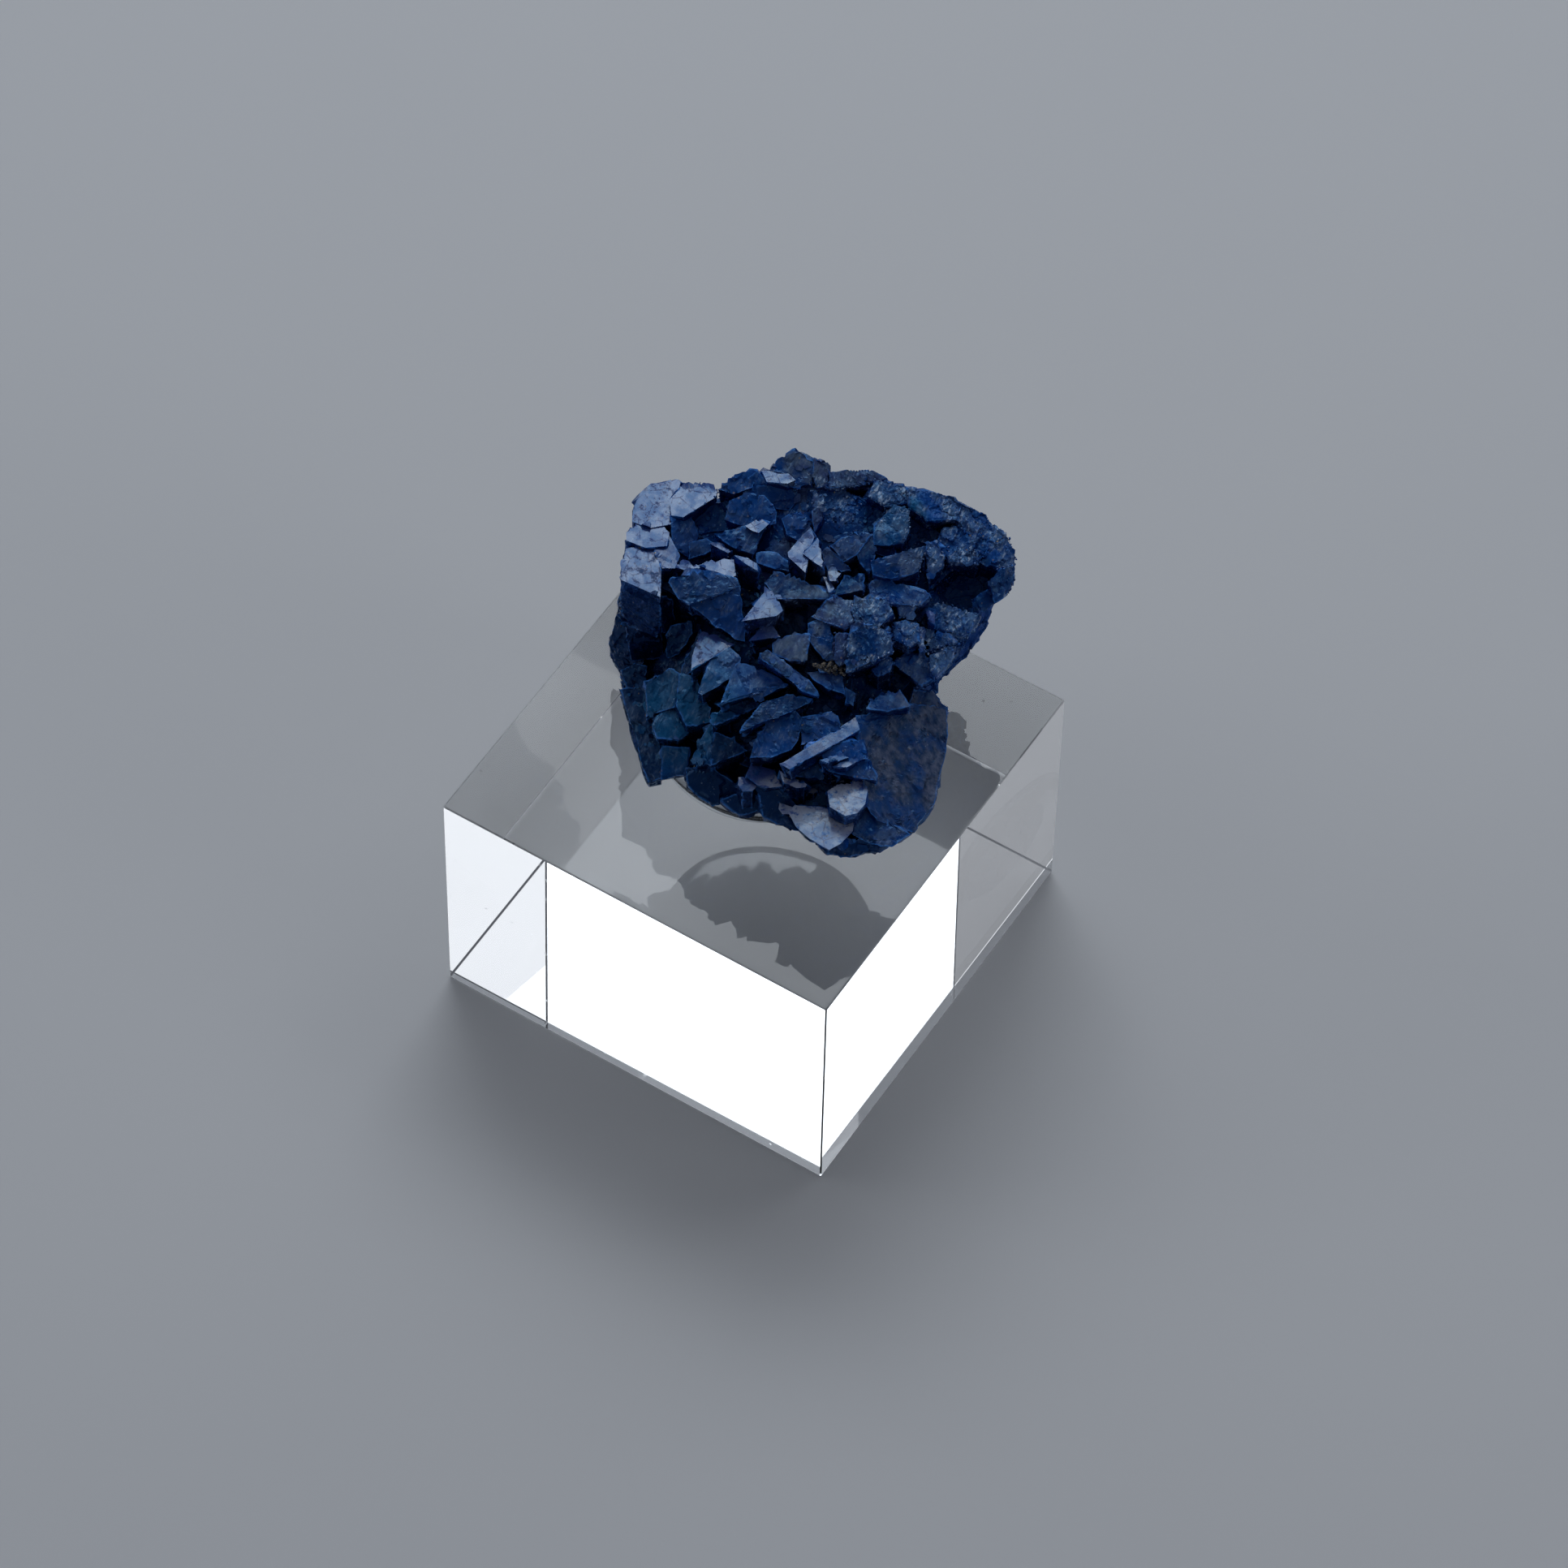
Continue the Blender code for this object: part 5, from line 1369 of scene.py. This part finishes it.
    def shares(self, body: Surface) -> tuple[Array, Array, Array]:
        """How far each point is druse, the rest of the display side, and hidden.

        Args:
            body: The finely cut body.

        Returns:
            Three arrays that add up to 1 at every point.
        """
        seen = DISPLAY.seen(body.points)
        shown = rising(body.point_normals() @ OUT, -0.2, 1.0 / 3.0)
        druse = druse_share(seen, 0.5, 0.6) * shown
        hidden = 1.0 - shown
        return druse, np.clip(1.0 - druse - hidden, 0.0, 1.0), hidden

    def edge_limit(self, points: Array, screen: BVHTree) -> Array:
        """The longest edge wanted at each place: short on druse, longer where it is hidden.

        Args:
            points: An (n, 3) array.
            screen: The solid, ready for lines of sight.

        Returns:
            An (n,) array of lengths.
        """
        sugary = druse_share(DISPLAY.seen(points), 0.5) > 0.02
        shows = in_sight(points, screen)
        plain = np.where(shows, self.relief.display_edge, self.relief.hidden_edge)
        return np.where(shows & sugary, self.relief.druse_edge, plain)

    def edge_marks(self, body: Surface, normals: Array) -> dict[str, Array]:
        """Numbers for the points on ridges and in clefts between the solid's faces.

        Args:
            body: The finely cut body, before its relief.
            normals: The normal of the solid's face that each of its faces came from.

        Returns:
            facet_edge, how far the sharpest ridge at a point turns; and facet_cleft, the same
            for clefts, spread over the neighbours.
        """
        pairs, one, two = body.meetings()
        turn, inward = folds(normals, body.centres(), one, two)
        marks = {}
        for key, chosen in (("facet_edge", ~inward), ("facet_cleft", inward)):
            values = np.zeros(len(body.points))
            strength = np.where(chosen, rising(turn, 0.0, 0.4), 0.0)
            for end in range(2):
                np.maximum.at(values, pairs[:, end], strength)
            marks[key] = values
        soft = body.spread(marks["facet_cleft"][:, None], np.full(len(body.points), 0.5), 4)
        marks["facet_cleft"] = np.clip(soft[:, 0] * 1.8, 0.0, 1.0)
        return marks

    def sugar_share(self, seen: Array, normals: Array) -> Array:
        """How thickly druse grows at each face: by patch, where it faces the display side."""
        facing = rising(normals @ OUT, 0.0, 0.5)
        return druse_share(seen, others=0.35) * facing

    def step_share(self, seen: Array, normals: Array) -> Array:
        """How thickly growth steps lie: not on the hidden or the flat side or on level facets."""
        sloping = rising(-normals[:, 2], -0.96, 1.0 / 30.0) * rising(normals @ OUT, 0.25, 1.0 / 3.0)
        return (1.0 - Patch.FLAT_SIDE.share(seen, 0.2)) * sloping

    def hidden_share(self, seen: Array, normals: Array) -> Array:
        """How thickly crystals cover each face: all over, but not on the display side."""
        return rising(-normals @ OUT, -0.12, 0.2)

    def over(self, body: Surface, growth: Growth, share: Any, draw: Chance,
             screen: BVHTree | None = None) -> Surface:
        """Grows crystals on faces picked by area times a share.

        Args:
            body: The surface they grow on.
            growth: The crop.
            share: The function of (u, v, w) and normals that weighs each face.
            draw: The source of chance.
            screen: What the crystals have to stay behind, if anything.

        Returns:
            The crystals. A point on a face is a + r (b - a) + s (c - a), with r + s folded
            back under 1.
        """
        normals, centres = body.normals(), body.centres()
        area = np.linalg.norm(body.crosses(), axis=1)
        weight = area * share(DISPLAY.seen(centres), normals)
        weight *= centres[:, 2] > DISPLAY.top + self.bare_foot
        picked = pick(weight, growth.count, draw)
        r, s = draw.random((2, growth.count, 1))
        folded = r + s > 1.0
        r, s = np.where(folded, 1.0 - r, r), np.where(folded, 1.0 - s, s)
        a, b, c = (body.points[body.faces[picked, corner]] for corner in range(3))
        return growth.grow(a + r * (b - a) + s * (c - a), normals[picked], draw, screen)

    def along(self, seams: Seams, way: float, growth: Growth, draw: Chance) -> Surface:
        """Grows crystals along the seams that turn out (way 1) or in (way -1).

        Args:
            seams: The edges between faces.
            way: 1 for ridges, -1 for crevices.
            growth: The crop.
            draw: The source of chance.

        Returns:
            The crystals, picked by each seam's length times how thickly they grow there.
        """
        length = np.linalg.norm(seams.end - seams.start, axis=1)
        seen = DISPLAY.seen((seams.start + seams.end) / 2.0)
        weight = length * (seams.turn * way > self.least_turn)
        if way > 0.0:
            weight *= self.plain_ridges + (1.0 - self.plain_ridges) * druse_share(seen)
        weight *= seen[:, 2] > self.seam_depth
        picked = pick(weight, growth.count, draw)
        share = draw.random((growth.count, 1))
        places = seams.start[picked] + share * (seams.end - seams.start)[picked]
        return growth.grow(places, seams.normal[picked], draw)

    def facets(self, surface: Surface, draw: Chance) -> dict[str, Array]:
        """Numbers for each face, the same for all faces that lie in one plane.

        Args:
            surface: The surface.
            draw: The source of chance.

        Returns:
            facet_tone, a random number; facet_level, 1 on level facets; facet_steep, 1 on
            upright and overhanging ones, which mirror the floor and must stay blue; and
            facet_slate, 1 on the broad flat side. Planes are told apart by their normal and
            their offset, each rounded after it is multiplied by its number in plane_steps.
        """
        normals, centres = surface.normals(), surface.centres()
        offset = (normals * centres).sum(axis=1, keepdims=True)
        turned, shifted = self.plane_steps
        keys = np.round(np.hstack([normals * turned, offset * shifted])).astype(np.int64)
        _, plane = np.unique(keys, axis=0, return_inverse=True)
        tone = draw.random(plane.max() + 1)[plane.reshape(-1)]
        level = rising(normals[:, 2], *self.level)
        steep = rising(-normals[:, 2], *self.steep)
        seen = DISPLAY.seen(centres)
        side = unit(OUT * 0.78 + RIGHT * 0.52 - np.array([0.0, 0.0, 0.12]))
        slate = Patch.FLAT_SIDE.share(seen, 0.2) * rising(normals @ side, *self.slate)
        return {"facet_tone": tone, "facet_level": level, "facet_steep": steep, "facet_slate": slate}

    def dress(self) -> None:
        """Gives every piece the azurite finish and ties it to the frame."""
        finish = AzuriteFinish().material()
        for piece in self.pieces:
            show(piece, finish, self.node)
        show(self.grains, RUST.material(), self.node)


@dataclass
class MatrixCrumb:
    """A crumb of iron-stained matrix caught between the crystals."""

    spot: Triple = (8.4, 9.4, 21.5)
    reach: Triple = (0.66, 0.3, 0.24)
    grains: Growth = Growth(Habit.GRAIN, 90, (0.2, 0.5), splay=1.0)
    seed: int = 3
    piece: bpy.types.Object | None = None

    def build(self) -> None:
        """Scatters the grains round the spot."""
        draw = np.random.default_rng(self.seed)
        spread = draw.normal(size=(self.grains.count, 3)) * self.reach
        places = DISPLAY.place(*self.spot) + spread @ [RIGHT, UP, OUT]
        normals = np.repeat([OUT], self.grains.count, axis=0)
        self.piece = self.grains.grow(places, normals, draw).to_object("matrix_crumb")

    def dress(self) -> None:
        """Gives it the iron stain."""
        show(self.piece, IRON_STAIN.material(), "azurite_cluster")


@dataclass
class PuttyPad:
    """The clear putty pad: a pressed disc with a full, slightly uneven rim.

    It wets the block and the cluster's foot, so it reaches a hair into both.
    """

    node: str = "clear_putty_pad"
    radius: float = 13.05
    centre: Pair = (-0.4, 3.2)
    low: float = 32.99
    high: float = 34.86
    wobble: float = 0.16
    turns: int = 144
    steps: int = 13
    piece: bpy.types.Object | None = None

    def build(self) -> None:
        """Turns the rim's profile round the centre.

        The radius at angle t and height share s is R + wobble (sin 3t + sin(5t + 1)) / 2,
        less a half-round rim of half the pad's height; each end closes on a centre point.
        """
        angle = np.linspace(0.0, 2.0 * np.pi, self.turns, endpoint=False)[None, :]
        arc = np.linspace(-np.pi / 2.0, np.pi / 2.0, self.steps)[:, None]
        half = (self.high - self.low) / 2.0
        sway = self.wobble * (np.sin(3.0 * angle) + np.sin(5.0 * angle + 1.0)) / 2.0
        reach = self.radius - self.wobble + sway
        ring = reach - half * (1.0 - np.cos(arc))
        grid = np.stack([
            self.centre[0] + ring * np.cos(angle),
            self.centre[1] + ring * np.sin(angle),
            (self.low + self.high) / 2.0 + half * np.sin(arc) + 0.0 * angle,
        ], axis=-1).reshape(-1, 3)
        poles = np.array([[*self.centre, self.low], [*self.centre, self.high]])
        row, turn = np.mgrid[0:self.steps - 1, 0:self.turns]
        after = (turn + 1) % self.turns
        a, b = row * self.turns + turn, row * self.turns + after
        c, d = a + self.turns, b + self.turns
        sides = np.concatenate([np.stack([a, b, d], -1), np.stack([a, d, c], -1)]).reshape(-1, 3)
        step = np.arange(self.turns)
        after = (step + 1) % self.turns
        last = (self.steps - 1) * self.turns
        bottom = np.column_stack([np.full_like(step, len(grid)), after, step])
        top = np.column_stack([np.full_like(step, len(grid) + 1), last + step, last + after])
        surface = Surface(np.concatenate([grid, poles]), np.concatenate([sides, bottom, top]))
        self.piece = surface.to_object("putty_pad")
        self.piece.data.shade_smooth()

    def dress(self) -> None:
        """Gives it the putty finish."""
        show(self.piece, PUTTY.material(), self.node)


@dataclass
class DisplayBlock:
    """The acrylic block, which keeps its CAD solid."""

    node: str = "acrylic_block"

    def dress(self) -> None:
        """Puts the acrylic finish in the node's material slots."""
        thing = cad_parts[self.node]
        finish = AcrylicFinish().material()
        for slot in thing.material_slots:
            slot.material = finish
        LOG.info("piece %s: CAD node dressed", self.node)


@dataclass(frozen=True)
class Softbox:
    """A rectangular light: where it hangs, in metres, its size and its brightness."""

    name: str
    place: Triple
    size: Pair
    brightness: float
    tint: Triple = (0.93, 0.96, 1.0)
    aim: Triple = (0.0, 0.002, 0.045)

    def hang(self) -> None:
        """Makes the light. Its power is pi times its area times its brightness."""
        light = bpy.data.lights.new(self.name, "AREA")
        light.shape = "RECTANGLE"
        light.size, light.size_y = self.size
        light.energy = math.pi * self.size[0] * self.size[1] * self.brightness
        light.color = self.tint
        thing = bpy.data.objects.new(self.name, light)
        thing.location = self.place
        way = Vector(self.aim) - Vector(self.place)
        thing.rotation_euler = way.to_track_quat("-Z", "Y").to_euler()
        thing.visible_camera = False
        bpy.context.scene.collection.objects.link(thing)


@dataclass
class Studio:
    """The pale floor, the soft lights and the camera."""

    floor_size: float = 4.0
    floor_drop: float = 0.00012
    sky: Colour = (0.08, 0.085, 0.10, 1.0)
    eye: Triple = (0.252446, -0.409094, 0.684504)
    right: Triple = (0.84418, 0.53587, 0.01418)
    up: Triple = (-0.43968, 0.67703, 0.59018)
    lens: float = 167.6
    sensor: float = 36.0
    nearest: float = 0.01
    middle: Triple = (0.0, 0.0, 0.045)
    fills: tuple[Softbox, ...] = (
        Softbox("right_end", (0.246, 0.403, 0.691), (0.24, 0.24), 1.0),
        Softbox("left_end", (-0.246, -0.403, 0.691), (0.26, 0.26), 0.35),
        Softbox("left_fill", (-0.75, -0.35, 0.55), (0.4, 0.4), 1.0, (0.92, 0.96, 1.0)),
        Softbox("right_fill", (0.85, 0.10, 0.45), (0.35, 0.35), 1.0),
    )

    def lay_floor(self) -> None:
        """A plane just under the block's underside."""
        half = self.floor_size / 2.0 / MM
        corners = np.array([[-half, -half], [half, -half], [half, half], [-half, half]])
        points = np.column_stack([corners, np.full(4, -self.floor_drop / MM)])
        floor = Surface(points, np.array([[0, 1, 2], [0, 2, 3]])).to_object("floor")
        floor.data.materials.append(PALE_FLOOR.material())

    def light(self) -> None:
        """A key softbox and its halo where level facets mirror them, four fills and a sky."""
        mirrored = OUT * [-1.0, -1.0, 1.0]
        key, halo = (tuple(mirrored * reach + self.middle) for reach in (0.78, 0.90))
        Softbox("key", key, (0.46, 0.34), 2.45, (0.90, 0.95, 1.0)).hang()
        Softbox("halo", halo, (1.15, 0.95), 0.5, (0.86, 0.93, 1.0)).hang()
        for fill in self.fills:
            fill.hang()
        world = bpy.data.worlds.new("sky")
        world.use_nodes = True
        world.node_tree.nodes["Background"].inputs["Color"].default_value = self.sky
        bpy.context.scene.world = world
        bpy.context.scene.view_settings.view_transform = "Standard"

    def set_camera(self) -> None:
        """A long lens, looking down on the display side."""
        camera = bpy.data.cameras.new("camera")
        camera.sensor_fit = "HORIZONTAL"
        camera.sensor_width = self.sensor
        camera.lens = self.lens
        camera.clip_start = self.nearest
        thing = bpy.data.objects.new("camera", camera)
        right, up = Vector(self.right).normalized(), Vector(self.up).normalized()
        turn = Matrix((right, up, right.cross(up))).transposed()
        thing.matrix_world = Matrix.Translation(Vector(self.eye)) @ turn.to_4x4()
        bpy.context.scene.collection.objects.link(thing)
        bpy.context.scene.camera = thing


def main() -> None:
    """Builds and dresses each assembly, then sets the studio round it."""
    logging.basicConfig(level=logging.INFO, format="%(message)s")
    for assembly in (CrystalCluster(), MatrixCrumb(), PuttyPad()):
        assembly.build()
        assembly.dress()
    DisplayBlock().dress()
    studio = Studio()
    studio.lay_floor()
    studio.light()
    studio.set_camera()


if __name__ == "__main__":
    main()
